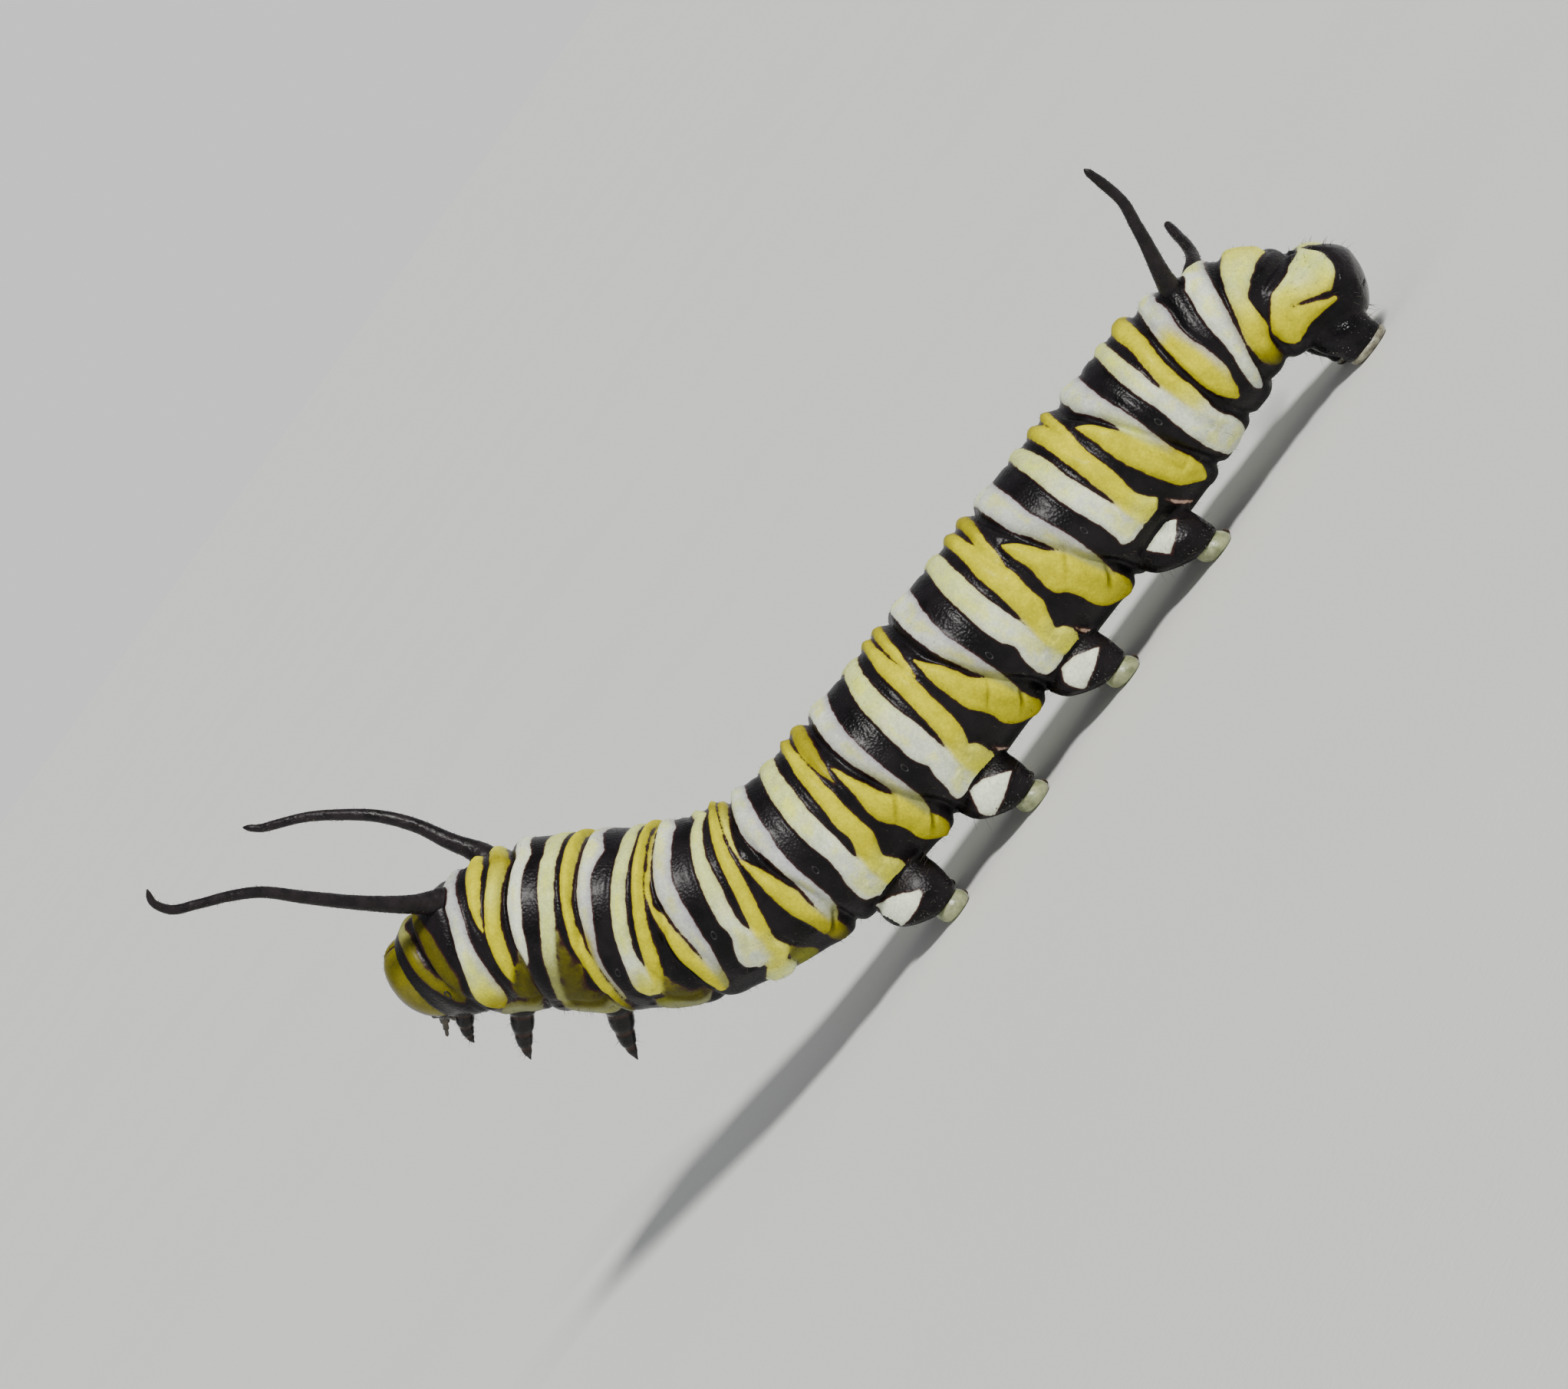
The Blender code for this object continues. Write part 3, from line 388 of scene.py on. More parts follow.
# Breathing holes: place on the body line and turn
SPIRACLES = (
    (0.80, 88), (3.30, 84), (4.25, 84), (5.21, 88), (6.16, 90), (7.15, 91), (8.22, 90), (9.31, 86),
    (10.46, 68),
)
SPIRACLE_SIDES = 28
SPIRACLE_HALF = (0.085, 0.15)    # half width and half height
SPIRACLE_RINGS = (           # size and height over the skin
    (1.25, -0.06), (1.18, 0.0), (1.0, 0.025), (0.84, 0.02), (0.66, -0.015), (0.4, -0.02), (0.08, -0.05),
)
SEED = 7
VOXEL = 0.075
HOOKS = 26               # on each pad
GRAINS = 30              # on each proleg
GRAIN_SIZE = (0.018, 0.036)
SKIN_HAIRS = 3000
HEAD_HAIRS = 300
LEG_HAIRS = 60
FILAMENT_HAIRS = 260
HAIR_RADIUS = 0.008
LIMB_HAIR_RADIUS = 0.010


def unit(rows):
    rows = np.asarray(rows, float)
    return rows / np.linalg.norm(rows, axis=-1, keepdims=True)


def hermite(knots, values, x):
    """Smooth curve through the values at the knots."""
    knots, values, x = (np.asarray(each, float) for each in (knots, values, x))
    slopes = np.gradient(values, knots, axis=0)
    i = np.clip(np.searchsorted(knots, x, side="right") - 1, 0, len(knots) - 2)
    span = knots[i + 1] - knots[i]
    t = (x - knots[i]) / span
    if values.ndim > 1:
        span, t = span[..., None], t[..., None]
    start = (1 + 2 * t) * (1 - t) ** 2 * values[i] + t * (1 - t) ** 2 * span * slopes[i]
    return start + t * t * (3 - 2 * t) * values[i + 1] + t * t * (t - 1) * span * slopes[i + 1]


def profile(table, shares, scale=1.0):
    """Radius at each share of a length, from a table of shares and radii."""
    return hermite([share for share, _ in table], [radius * scale for _, radius in table], shares)


def hump(x, width):
    return np.exp(-(x / width) ** 2)


def step(x, low, high):
    """0 below low, 1 above high, smooth between."""
    t = np.clip((x - low) / (high - low), 0.0, 1.0)
    return t * t * (3 - 2 * t)


def lengths_to(points):
    """Length along a line up to each of its points."""
    return np.concatenate([[0.0], np.cumsum(np.linalg.norm(np.diff(points, axis=0), axis=1))])


def circle(sides):
    return np.linspace(0, 2 * math.pi, sides, endpoint=False)


def from_back(turn):
    """Turn from the back to the nearer side, 0 to 180 degrees."""
    return np.abs((turn + 180) % 360 - 180)


CENTRES = np.array([seam[0] for seam in SEAMS])
SIZES = np.array([seam[1:] for seam in SEAMS], float)
ALONG = lengths_to(CENTRES)


def stations(u):
    """Frames and half sizes of the body at u seams from the neck."""
    u = np.asarray(u, float)
    i = np.clip(np.floor(u).astype(int), 0, LAST - 1)
    s = ALONG[i] + (u - i) * (ALONG[i + 1] - ALONG[i])
    centre = hermite(ALONG, CENTRES, s)
    forward = unit(hermite(ALONG, CENTRES, s - SLOPE_STEP) - hermite(ALONG, CENTRES, s + SLOPE_STEP))
    depth, width, roll, lean = np.moveaxis(hermite(ALONG, SIZES, s), -1, 0)
    end = SIZES[-1][0]
    rounding = np.sqrt(1 - np.clip(u - LAST + 1, 0, 1) ** (2 * TAIL_ROUNDING))
    closed = end + (SIZES[-2][0] - end) * rounding
    tail = u > LAST - 1
    depth = np.where(tail, closed, depth)
    width = np.where(tail, closed * SIZES[-2][1] / SIZES[-2][0], width)
    roll, lean = np.radians(roll)[..., None], np.radians(lean)[..., None]
    level_left = unit(np.cross([0.0, 0.0, 1.0], forward))
    upright = np.cross(forward, level_left)
    left = level_left * np.cos(roll) - upright * np.sin(roll)
    back = (upright * np.cos(roll) + level_left * np.sin(roll)) * np.cos(lean) + forward * np.sin(lean)
    return centre, forward, back, left, depth, width


def station(u):
    """Centre, forward, back and left of the body at one place."""
    return (part[0] for part in stations(np.array([float(u)]))[:4])


def surface(u, turn):
    """Points of the plain body at u and turn."""
    centre, _, back, left, depth, width = stations(u)
    angle = np.radians(turn)[..., None]
    flat = 1 - BELLY_FLAT * np.clip(-np.cos(angle), 0, None) ** 2
    return (centre + back * np.cos(angle) * (depth[..., None] * flat)
            + left * np.sin(angle) * width[..., None])


def surface_point(u, turn):
    return surface(np.array([float(u)]), np.array([float(turn)]))[0]


def to_metres(points):
    return (np.asarray(points, float) - ORIGIN) * MM


def linear(name):
    """A named colour in linear light."""
    return (np.array(COLOURS[name]) / 255.0) ** 2.2


# ---- meshes ----


def placed(name, data):
    """Object in the scene with this mesh, light or camera."""
    made = bpy.data.objects.new(name, data)
    bpy.context.scene.collection.objects.link(made)
    return made


def mesh_object(name, points, faces, material):
    """Object from points in millimetres."""
    data = bpy.data.meshes.new(name)
    data.from_pydata([tuple(p) for p in to_metres(points)], [], faces)
    data.materials.append(material)
    data.shade_smooth()
    return placed(name, data)


def grid_faces(rows, sides):
    """Quads of a tube of rows times sides points, and a face for each end."""
    faces = []
    for low in range(0, (rows - 1) * sides, sides):
        for k in range(sides):
            n = (k + 1) % sides
            faces.append((low + k, low + n, low + sides + n, low + sides + k))
    last = (rows - 1) * sides
    return faces + [tuple(reversed(range(sides))), tuple(range(last, last + sides))]


def join(parts):
    """Points and faces of several shapes as one."""
    points, faces, count = [], [], 0
    for some, those in parts:
        points.append(some)
        faces += [tuple(count + k for k in face) for face in those]
        count += len(some)
    return np.concatenate(points), faces


def joined(name, parts, material):
    """Several shapes as one object."""
    return mesh_object(name, *join(parts), material)


def store(data, name, values):
    """Keep one number or one colour per point on a mesh."""
    values = np.asarray(values, np.float32)
    if values.ndim == 1:
        data.attributes.new(name, "FLOAT", "POINT").data.foreach_set("value", values)
    else:
        full = np.ones((len(values), 4), np.float32)
        full[:, :3] = values
        data.attributes.new(name, "FLOAT_COLOR", "POINT").data.foreach_set("color", full.ravel())


def read_vectors(rows, field):
    """Places or normals of a mesh."""
    flat = np.zeros(len(rows) * 3, np.float32)
    rows.foreach_get(field, flat)
    return flat.reshape(-1, 3).astype(float)


def write_points(data, points):
    """Move a mesh's vertices to these places."""
    data.vertices.foreach_set("co", points.astype(np.float32).ravel())
    data.update()


def tube(places, radii, sides, roughness=0.0):
    """Tapered tube along a line, as points and faces, with a slightly uneven surface."""
    places, radii = np.asarray(places, float), np.asarray(radii, float)
    ways = unit(np.gradient(places, axis=0))
    side = unit(np.cross(ways[0], [0.3, 0.2, 0.93]))
    angles = circle(sides)[:, None]
    source = np.random.default_rng(SEED)
    rows = []
    for place, way, radius in zip(places, ways, radii):
        side = unit(side - way * np.dot(side, way))
        other = np.cross(way, side)
        uneven = radius * (1 + roughness * source.normal(size=sides)[:, None])
        rows.append(place + uneven * (side * np.cos(angles) + other * np.sin(angles)))
    return np.concatenate(rows), grid_faces(len(rows), sides)


def curve(points, count):
    """Smooth line through the points, and the share of its length at each of its places."""
    points = np.asarray(points, float)
    lengths = lengths_to(points)
    shares = np.linspace(0, 1, count)
    return hermite(lengths, points, shares * lengths[-1]), shares


def ellipsoid(middle, axes, sizes, rows=18, sides=28, change=None):
    """Stretched ball as points and faces; change moves its points in its own shares."""
    polar = np.linspace(0.02, math.pi - 0.02, rows)
    p, a = np.meshgrid(polar, circle(sides), indexing="ij")
    shares = np.stack([np.sin(p) * np.cos(a), np.sin(p) * np.sin(a), np.cos(p)], -1).reshape(-1, 3)
    if change:
        shares = change(shares)
    return middle + (shares * np.array(sizes)) @ axes, grid_faces(rows, sides)


# ---- materials ----

# Cells of noise to the metre
FINE, PORES, MIDDLE, PATCHY, BROAD = 9000.0, 3500.0, 2600.0, 1300.0, 900.0
RIM = (0.040, 0.012, 0.010)      # the black next to a light mark is a little red
WARM = (1.03, 1.03, 0.52)        # light marks times this in their yellower patches
SOFT_REACH = (1.0, 0.9, 0.6)     # how far red, green and blue light goes under soft skin
SOFT_DEPTH = 0.4                 # in millimetres
# Looks with marks: darker and lighter ground, roughness of ground and marks, cells to the
# metre, depth of the grain in millimetres, coat, and how far the marks' edges wander
MARKED_LOOKS = {
    "skin": ((0.0025, 0.0020, 0.0024), (0.010, 0.0075, 0.0095), 0.36, 0.60, 10500.0, 0.016, 0.04, 0.10),
    "head": ((0.0035, 0.003, 0.003), (0.010, 0.008, 0.007), 0.28, 0.36, 11000.0, 0.006, 0.25, 0.03),
    "leg": ((0.003, 0.003, 0.003), (0.009, 0.008, 0.008), 0.25, 0.35, 9000.0, 0.006, 0.3, 0.02),
}
# Plain looks: darker and lighter colour, roughness, noise to the metre, depth of the bump in
# millimetres, and where they differ coat, softness under the skin and level of the highlights
PLAIN_LOOKS = {
    "filament": ((0.004, 0.003, 0.0035), (0.016, 0.0105, 0.013), 0.42, 1900.0, 0.030, 0.05, 0.0, 0.2),
    "pad": ((0.15, 0.17, 0.08), (0.34, 0.37, 0.20), 0.36, 2600.0, 0.020, 0.1, 0.4),
    "tail_pad": ((0.045, 0.032, 0.016), (0.36, 0.35, 0.25), 0.40, 2600.0, 0.020, 0.1),
    "brown": ((0.018, 0.009, 0.005), (0.060, 0.028, 0.012), 0.25, 2200.0, 0.006, 0.4),
    "horn": ((0.020, 0.014, 0.008), (0.085, 0.062, 0.035), 0.35, 2200.0, 0.006, 0.2),
    "eye": ((0.002, 0.002, 0.002), (0.008, 0.006, 0.006), 0.08, 900.0, 0.001, 0.8),
    "breathing_hole": ((0.002, 0.002, 0.002), (0.006, 0.005, 0.005), 0.5, 2200.0, 0.004),
    "hair": ((0.02, 0.014, 0.012), (0.16, 0.13, 0.10), 0.45, 700.0, 0.001),
}


def feed(tree, place, value):
    """Link a socket to a node's input, or set a number on it."""
    if isinstance(value, bpy.types.NodeSocket):
        tree.links.new(value, place)
    else:
        place.default_value = value


def node(tree, kind, settings=None, **inputs):
    """New shader node; i0, i1 and so on are inputs by number, other names by name."""
    made = tree.nodes.new("ShaderNode" + kind)
    for key, value in (settings or {}).items():
        setattr(made, key, value)
    for key, value in inputs.items():
        feed(tree, made.inputs[int(key[1:]) if key[1:].isdigit() else key], value)
    return made


def maths(tree, operation, first, second=0.0, third=0.0):
    return node(tree, "Math", {"operation": operation}, i0=first, i1=second, i2=third).outputs[0]


def times(tree, first, second):
    return maths(tree, "MULTIPLY", first, second)


def varied(tree, value, pattern, size):
    """The value, more and less by a noise pattern about 0.5 times size."""
    return maths(tree, "MULTIPLY_ADD", maths(tree, "SUBTRACT", pattern, 0.5), size, value)


def blend(tree, share, first, second):
    """Mix of two colours."""
    first, second = ((*each, 1.0) if isinstance(each, tuple) else each for each in (first, second))
    return node(tree, "Mix", {"data_type": "RGBA"}, i0=share, i6=first, i7=second).outputs[2]


def ramp(tree, value, low, high, to_low=0.0, to_high=1.0):
    made = node(tree, "MapRange", {"interpolation_type": "SMOOTHSTEP"}, i0=value, i1=low, i2=high,
                i3=to_low, i4=to_high)
    return made.outputs[0]


def noise(tree, place, scale, detail=3.0):
    return node(tree, "TexNoise", Vector=place, Scale=scale, Detail=detail, Roughness=0.55).outputs[0]


def cells(tree, place, scale):
    made = node(tree, "TexVoronoi", {"feature": "SMOOTH_F1"}, Vector=place, Scale=scale,
                Smoothness=0.8, Randomness=1.0)
    return made.outputs["Distance"]


def attribute(tree, name, output="Fac"):
    return node(tree, "Attribute", {"attribute_name": name}).outputs[output]


def vector_maths(tree, operation, **inputs):
    return node(tree, "VectorMath", {"operation": operation}, **inputs).outputs[0]


def new_material(name):
    made = bpy.data.materials.new(name)
    made.use_nodes = True
    tree = made.node_tree
    return made, tree, tree.nodes["Principled BSDF"], node(tree, "TexCoord").outputs["Object"]


def finish_shader(tree, shader, height, depth_mm, **inputs):
    """Bump from a height, and the shader's inputs."""
    bump = node(tree, "Bump", Strength=1.0, Distance=depth_mm * MM, Height=height).outputs[0]
    for name, value in {"Normal": bump, **inputs}.items():
        feed(tree, shader.inputs[name.replace("_", " ")], value)


def marked_material(name, dark, dark_light, rough_dark, rough_light, grain, grain_depth, coat, wander):
    """Dark ground with light marks, whose edges and colours the mesh carries."""
    made, tree, shader, place = new_material(name)
    mark, tint = attribute(tree, "mark"), attribute(tree, "tint", "Color")
    fine, middle = noise(tree, place, FINE), noise(tree, place, MIDDLE, 2.0)
    broad, grains = noise(tree, place, BROAD, 4.0), cells(tree, place, grain)
    # the edges wander a little and are frayed by fine grains
    edge = varied(tree, varied(tree, mark, middle, wander), fine, wander * 0.3)
    inside = ramp(tree, edge, -0.020, 0.026)
    ground = blend(tree, ramp(tree, broad, 0.35, 0.7), dark, dark_light)
    ground = blend(tree, ramp(tree, grains, 0.42, 0.05, 0.0, 0.5), ground, dark_light)
    ground = blend(tree, ramp(tree, edge, -0.08, -0.025, 0.0, 0.7), ground, RIM)
    # the marks are uneven, darker in their pores and at their edges, and yellower in patches
    shade = ramp(tree, broad, 0.25, 0.75, 0.86, 1.08)
    for value, *span in ((middle, 0.25, 0.7, 0.90, 1.05), (grains, 0.1, 0.7, 1.06, 0.88),
                         (edge, 0.0, 0.12, 0.82, 1.0)):
        shade = times(tree, shade, ramp(tree, value, *span))
    light = vector_maths(tree, "SCALE", i0=tint, Scale=shade)
    patchy = times(tree, ramp(tree, noise(tree, place, PATCHY), 0.42, 0.62),
                   ramp(tree, mark, 0.06, 0.30, 0.15, 1.0))
    patchy = times(tree, patchy, maths(tree, "SUBTRACT", 1.0, attribute(tree, "leg")))
    light = blend(tree, patchy, light, vector_maths(tree, "MULTIPLY", i0=light, i1=WARM))
    rough = varied(tree, ramp(tree, inside, 0.0, 1.0, rough_dark, rough_light), broad, 0.25)
    rough = times(tree, rough, ramp(tree, attribute(tree, "gloss"), 0.0, 1.0, 1.0, 0.55))
    pebble = times(tree, grains, ramp(tree, inside, 0.0, 1.0, 1.0, 0.45))
    height = maths(tree, "MULTIPLY_ADD", fine, 0.35, pebble)
    height = maths(tree, "MULTIPLY_ADD", noise(tree, place, PORES, 2.0), 0.6, height)
    finish_shader(tree, shader, height, grain_depth, Base_Color=blend(tree, inside, ground, light),
                  Roughness=rough, Coat_Weight=coat, Coat_Roughness=0.2, Specular_IOR_Level=0.13)
    return made


def plain_material(name, low, high, rough, scale, bump_mm, coat=0.0, soft=0.0, specular=0.5):
    """One colour that varies a little, with a fine uneven surface."""
    made, tree, shader, place = new_material(name)
    broad = noise(tree, place, scale, 4.0)
    height = maths(tree, "MULTIPLY_ADD", noise(tree, place, scale * 5), 0.5,
                   cells(tree, place, scale * 3))
    under_skin = {"Subsurface_Weight": soft, "Subsurface_Radius": SOFT_REACH,
                  "Subsurface_Scale": SOFT_DEPTH * MM}
    finish_shader(tree, shader, height, bump_mm,
                  Base_Color=blend(tree, ramp(tree, broad, 0.3, 0.72), low, high),
                  Roughness=ramp(tree, broad, 0.2, 0.8, rough * 0.8, rough * 1.25),
                  Coat_Weight=coat, Coat_Roughness=0.15, Specular_IOR_Level=specular,
                  **(under_skin if soft else {}))
    return made


# ---- marks and relief of the skin ----

U_STEP = 0.01
BAND_REACH = 0.5             # in seams past a band's edges
COLOUR_PULL = 14             # how fast a band's colour gives way to the next one's, to the mm
COLOUR_RANGE = (-0.8, 0.25)
LILAC_FADE = (-0.40, 0.05)   # where a grey band turns to lilac, before its edge to the tail
BAND_RISE = 1.4
RISE_RANGE = (-0.08, 0.26)
CREASED_FROM = 0.05          # bands raised this much have fine folds beside them
CREASED_TO = 120             # down to this turn
FOLD_BULGE = (0.35, 0.55, 0.35)      # share of the fold's depth, place beside it and width
TAIL_CREASE_DEPTH = 0.10
TAIL_CREASE_WIDTH = 0.14
TAIL_CREASE_GROWS = (11.9, 12.5)     # its black line gets wider here
TAIL_CREASE_ENDS = (12.75, 12.97)    # and its relief ends here


def all_bands():
    """Every band, with its edges in seams from the neck."""
    for seam, bands in enumerate(BANDS.values()):
        for colours, height, sharp, rows in bands:
            yield colours, height, sharp, np.array(
                [(turn, round(seam + head / 100, 4), round(seam + tail / 100, 4))
                 for turn, head, tail in rows])


def band_distance(rows, u, turn, per_u, per_turn):
    """Millimetres inside (+) or outside (-) a band's edges, and past its edge to the tail."""
    turns = np.arange(0, 181)
    within = np.clip(turns, rows[0, 0], rows[-1, 0])
    found = (rows[-1, 0] - turn) * per_turn
    if rows[0, 0] > 0:
        found = np.minimum(found, (turn - rows[0, 0]) * per_turn)
    for column, sign in ((1, 1), (2, -1)):
        edge = hermite(rows[:, 0], rows[:, column], within)
        slant = np.interp(turn, turns, np.gradient(edge)) * per_u / per_turn
        past = (u - np.interp(turn, turns, edge)) * per_u
        found = np.minimum(found, sign * past / np.sqrt(1 + slant ** 2))
    return found, past


def band_marks(u, turn, per_u, per_turn):
    """Mark, tint and relief that the bands give."""
    mark, total = np.full(len(u), -1.0), np.full(len(u), 1e-9)
    tint = np.zeros((len(u), 3))
    raised, folded = np.zeros(len(u)), np.zeros(len(u))
    for colours, height, sharp, rows in all_bands():
        near = np.nonzero((u > rows[:, 1].min() - BAND_REACH) & (u < rows[:, 2].max() + BAND_REACH))[0]
        turn_near = turn[near]
        away, past = band_distance(rows, u[near], turn_near, per_u[near], per_turn[near])
        mark[near] = np.maximum(mark[near], np.where(away > 0, away * sharp, np.maximum(away, -1)))
        stops, names = zip(*colours)
        table = np.array([linear(name) for name in names])
        colour = np.stack([np.interp(turn_near, stops, table[:, k]) for k in range(3)], 1)
        if "grey" in names:
            fade = 0.8 * step(past, *LILAC_FADE) * (1 - step(turn_near, 85, 115))
            colour += fade[:, None] * (linear("lilac") - colour)
        weight = np.exp(COLOUR_PULL * np.clip(away, *COLOUR_RANGE))
        tint[near] += colour * weight[:, None]
        total[near] += weight
        raised[near] = np.maximum(raised[near], BAND_RISE * height * step(away, *RISE_RANGE))
        if height >= CREASED_FROM:
            folded[near] = np.maximum(folded[near], hump(away + 0.10, FINE_FOLD_WIDTH))
    return mark, tint / total[:, None], raised - FINE_FOLD_DEPTH * folded * (turn < CREASED_TO)


def skin_marks(u, turn):
    """Mark, tint and relief of the body's skin at u and turn."""
    turn = from_back(turn)
    per_u = np.linalg.norm(surface(u + U_STEP, turn) - surface(u - U_STEP, turn), axis=1) / (2 * U_STEP)
    per_turn = np.radians(stations(u)[4])
    mark, tint, relief = band_marks(u, turn, per_u, per_turn)
    crease = np.interp(u, *np.array(TAIL_CREASE, float).T)
    away = np.abs(turn - crease) * per_turn + 3 * np.clip(TAIL_CREASE[0][0] - u, 0, None)
    mark = np.minimum(mark, away - 0.02 - 0.09 * step(u, *TAIL_CREASE_GROWS))
    relief -= TAIL_CREASE_DEPTH * hump(away, TAIL_CREASE_WIDTH) * (1 - step(u, *TAIL_CREASE_ENDS))
    shade = np.zeros(len(u))
    for place, around, slant, strength in DIMPLES:
        along, across = (u - place) * per_u, (turn - around) * per_turn
        shade += strength * hump(np.hypot((along + slant * across) / DIMPLE_WIDTH,
                                          across / DIMPLE_LENGTH), 1.0)
    relief -= DIMPLE_DEPTH * shade
    # painted shade: the skin's colour is darkened in the creases
    tint *= (1 - DIMPLE_PAINTED_SHADE * shade)[:, None]
    bulge, beside, width = FOLD_BULGE
    for rows, depth in zip(FOLDS, FOLD_DEPTH):
        line = hermite(*np.array(rows, float).T, np.clip(turn, 0, 180))
        away = (u - line) * per_u
        relief -= depth * hump(away, FOLD_WIDTH)
        relief += bulge * depth * hump(np.abs(away) - beside, width)
    return mark, tint, relief


# ---- prolegs ----

PROLEG_ROOT_HEIGHT = 2.6     # over the floor, where a proleg is at its root's x
PATCH_REACH = 1.5            # from the proleg's line, so that no other proleg is marked
PATCH_TOP = 3.0
PATCH_SHARE = 0.12
Proleg = namedtuple("Proleg", "number root_x pad_x middle sign rings pad_rings")


def all_prolegs():
    for sign in (1, -1):
        for number, (root_x, pad_x) in PROLEG_X.items():
            yield Proleg(number, root_x, pad_x, 0.0, sign, PROLEG_RINGS, PAD_RINGS)
        yield Proleg(10, *ANAL_PROLEG_X, ANAL_PROLEG_MIDDLE, sign, ANAL_PROLEG_RINGS, ANAL_PAD_RINGS)


PROLEG_NODES = [f"proleg_{number}_{side}" if number else f"anal_proleg_{side}"
                for side in ("left", "right") for number in (*PROLEG_X, None)]


def proleg_x(leg, height):
    """x of the middle of a proleg at a height over the floor."""
    return leg.pad_x + (leg.root_x - leg.pad_x) * height / PROLEG_ROOT_HEIGHT


def proleg_shape(leg, rings, sides=44, count=40):
    """Smooth proleg or pad as points and faces, from its top down."""
    rows = np.array(rings, float)
    fine = hermite(np.linspace(0, 1, len(rows)), rows, np.linspace(0, 1, count))
    angles = circle(sides)
    points = []
    for height, out, half_length, half_width, ahead in fine:
        x = proleg_x(leg, min(height, rows[0, 0])) - ahead
        y = leg.middle - leg.sign * out
        points.append(np.stack([x + half_length * np.cos(angles), y + half_width * np.sin(angles),
                                np.full(sides, FLOOR + height)], 1))
    return np.concatenate(points), grid_faces(count, sides)


def inside_polygon(x, y, corners):
    """Distance inside (+) or outside (-) the sides of a polygon with no inward corner."""
    found = np.full(len(x), np.inf)
    for (ax, ay), (bx, by) in zip(corners, corners[1:] + corners[:1]):
        length = math.hypot(bx - ax, by - ay)
        found = np.minimum(found, ((x - ax) * (by - ay) - (y - ay) * (bx - ax)) / length)
    return found


def proleg_marks(points, mark, tint, share):
    """White patches on the prolegs, where a point belongs to one by its share."""
    height = points[:, 2] - FLOOR
    for leg in all_prolegs():
        if leg.number not in PROLEG_PATCH:
            continue
        table = np.array(leg.rings, float)[::-1]
        out = np.interp(height, table[:, 0], table[:, 1])
        dx = points[:, 0] - proleg_x(leg, height)
        dy = (leg.middle - leg.sign * out - points[:, 1]) * leg.sign
        near = (np.hypot(dx, dy) < PATCH_REACH) & (share > PATCH_SHARE) & (height < PATCH_TOP)
        angle = np.degrees(np.arctan2(dx, dy))
        corners = [(a * LEG_DEGREE, h) for a, h in PROLEG_PATCH[leg.number]]
        mark[near] = inside_polygon(angle * LEG_DEGREE, height, corners)[near] - PATCH_INSET
        tint[near] = linear("white")


# ---- skin ----

BODY_ROWS = 320
BODY_SIDES = 120
BODY_U = np.linspace(0.0, LAST, BODY_ROWS)
BODY_TURNS = np.linspace(0, 360, BODY_SIDES, endpoint=False)
# Rings that close the body: share of the end ring's size, and how far they lie to the head
# at the neck, where they roll into a collar, and to the tail at its end
COLLAR = ((0.60, -0.45), (0.84, -0.35), (0.90, -0.05), (0.955, 0.06), (0.99, 0.05))
DOME = ((0.84, 0.03), (0.62, 0.07), (0.38, 0.09), (0.15, 0.10))
# A point is a proleg's by its height over the plain body, past a turn and a place
PROLEG_RISE = (0.03, 0.12)
PROLEG_TURN = 95
PROLEGS_FROM = 4.5
HOLLOW = (0.10, 0.22)        # height and width of the hollows where the prolegs grow
TAIL_FROM = 12.6             # the last prolegs' hollows end here
FOOT_GLOSS = (1.7, 0.6)      # height over the floor and width of its upper edge
TAIL_GLOSS = (12.55, 12.75)


def plain_body():
    """The body without its relief, as a grid of points."""
    u, turn = np.meshgrid(BODY_U, BODY_TURNS, indexing="ij")
    return surface(u.ravel(), turn.ravel()).reshape(BODY_ROWS, BODY_SIDES, 3)


def closed_body(grid):
    """The body with its collar round the head and a rounded tail, as points and faces."""
    neck, forward, *_ = station(0)
    collar = [neck + (grid[0] - neck) * size + forward * out for size, out in COLLAR]
    end, forward, *_ = station(LAST)
    dome = [end + (grid[-1] - end) * size - forward * out for size, out in DOME]
    rings = np.concatenate([np.array(collar), grid, np.array(dome)])
    return rings.reshape(-1, 3), grid_faces(len(rings), BODY_SIDES)


def remeshed(points, faces):
    """One even closed surface round overlapping closed shapes, in millimetres."""
    data = bpy.data.meshes.new("rough")
    data.from_pydata([tuple(p) for p in points], [], faces)
    piece = placed("rough", data)
    change = piece.modifiers.new("even", "REMESH")
    change.mode = "VOXEL"
    change.voxel_size = VOXEL
    bpy.context.view_layer.update()
    made = bpy.data.meshes.new_from_object(piece.evaluated_get(bpy.context.evaluated_depsgraph_get()))
    bpy.data.objects.remove(piece)
    bpy.data.meshes.remove(data)
    return made


def smoothed(points, edges, weight, rounds):
    """Move points towards the mean of their neighbours, as far as their weight says."""
    count = np.bincount(edges.ravel(), minlength=len(points))[:, None]
    for _ in range(rounds):
        total = np.zeros_like(points)
        for k in range(3):
            total[:, k] = (np.bincount(edges[:, 0], points[edges[:, 1], k], len(points))
                           + np.bincount(edges[:, 1], points[edges[:, 0], k], len(points)))
        points = points + (total / count - points) * weight[:, None]
    return points


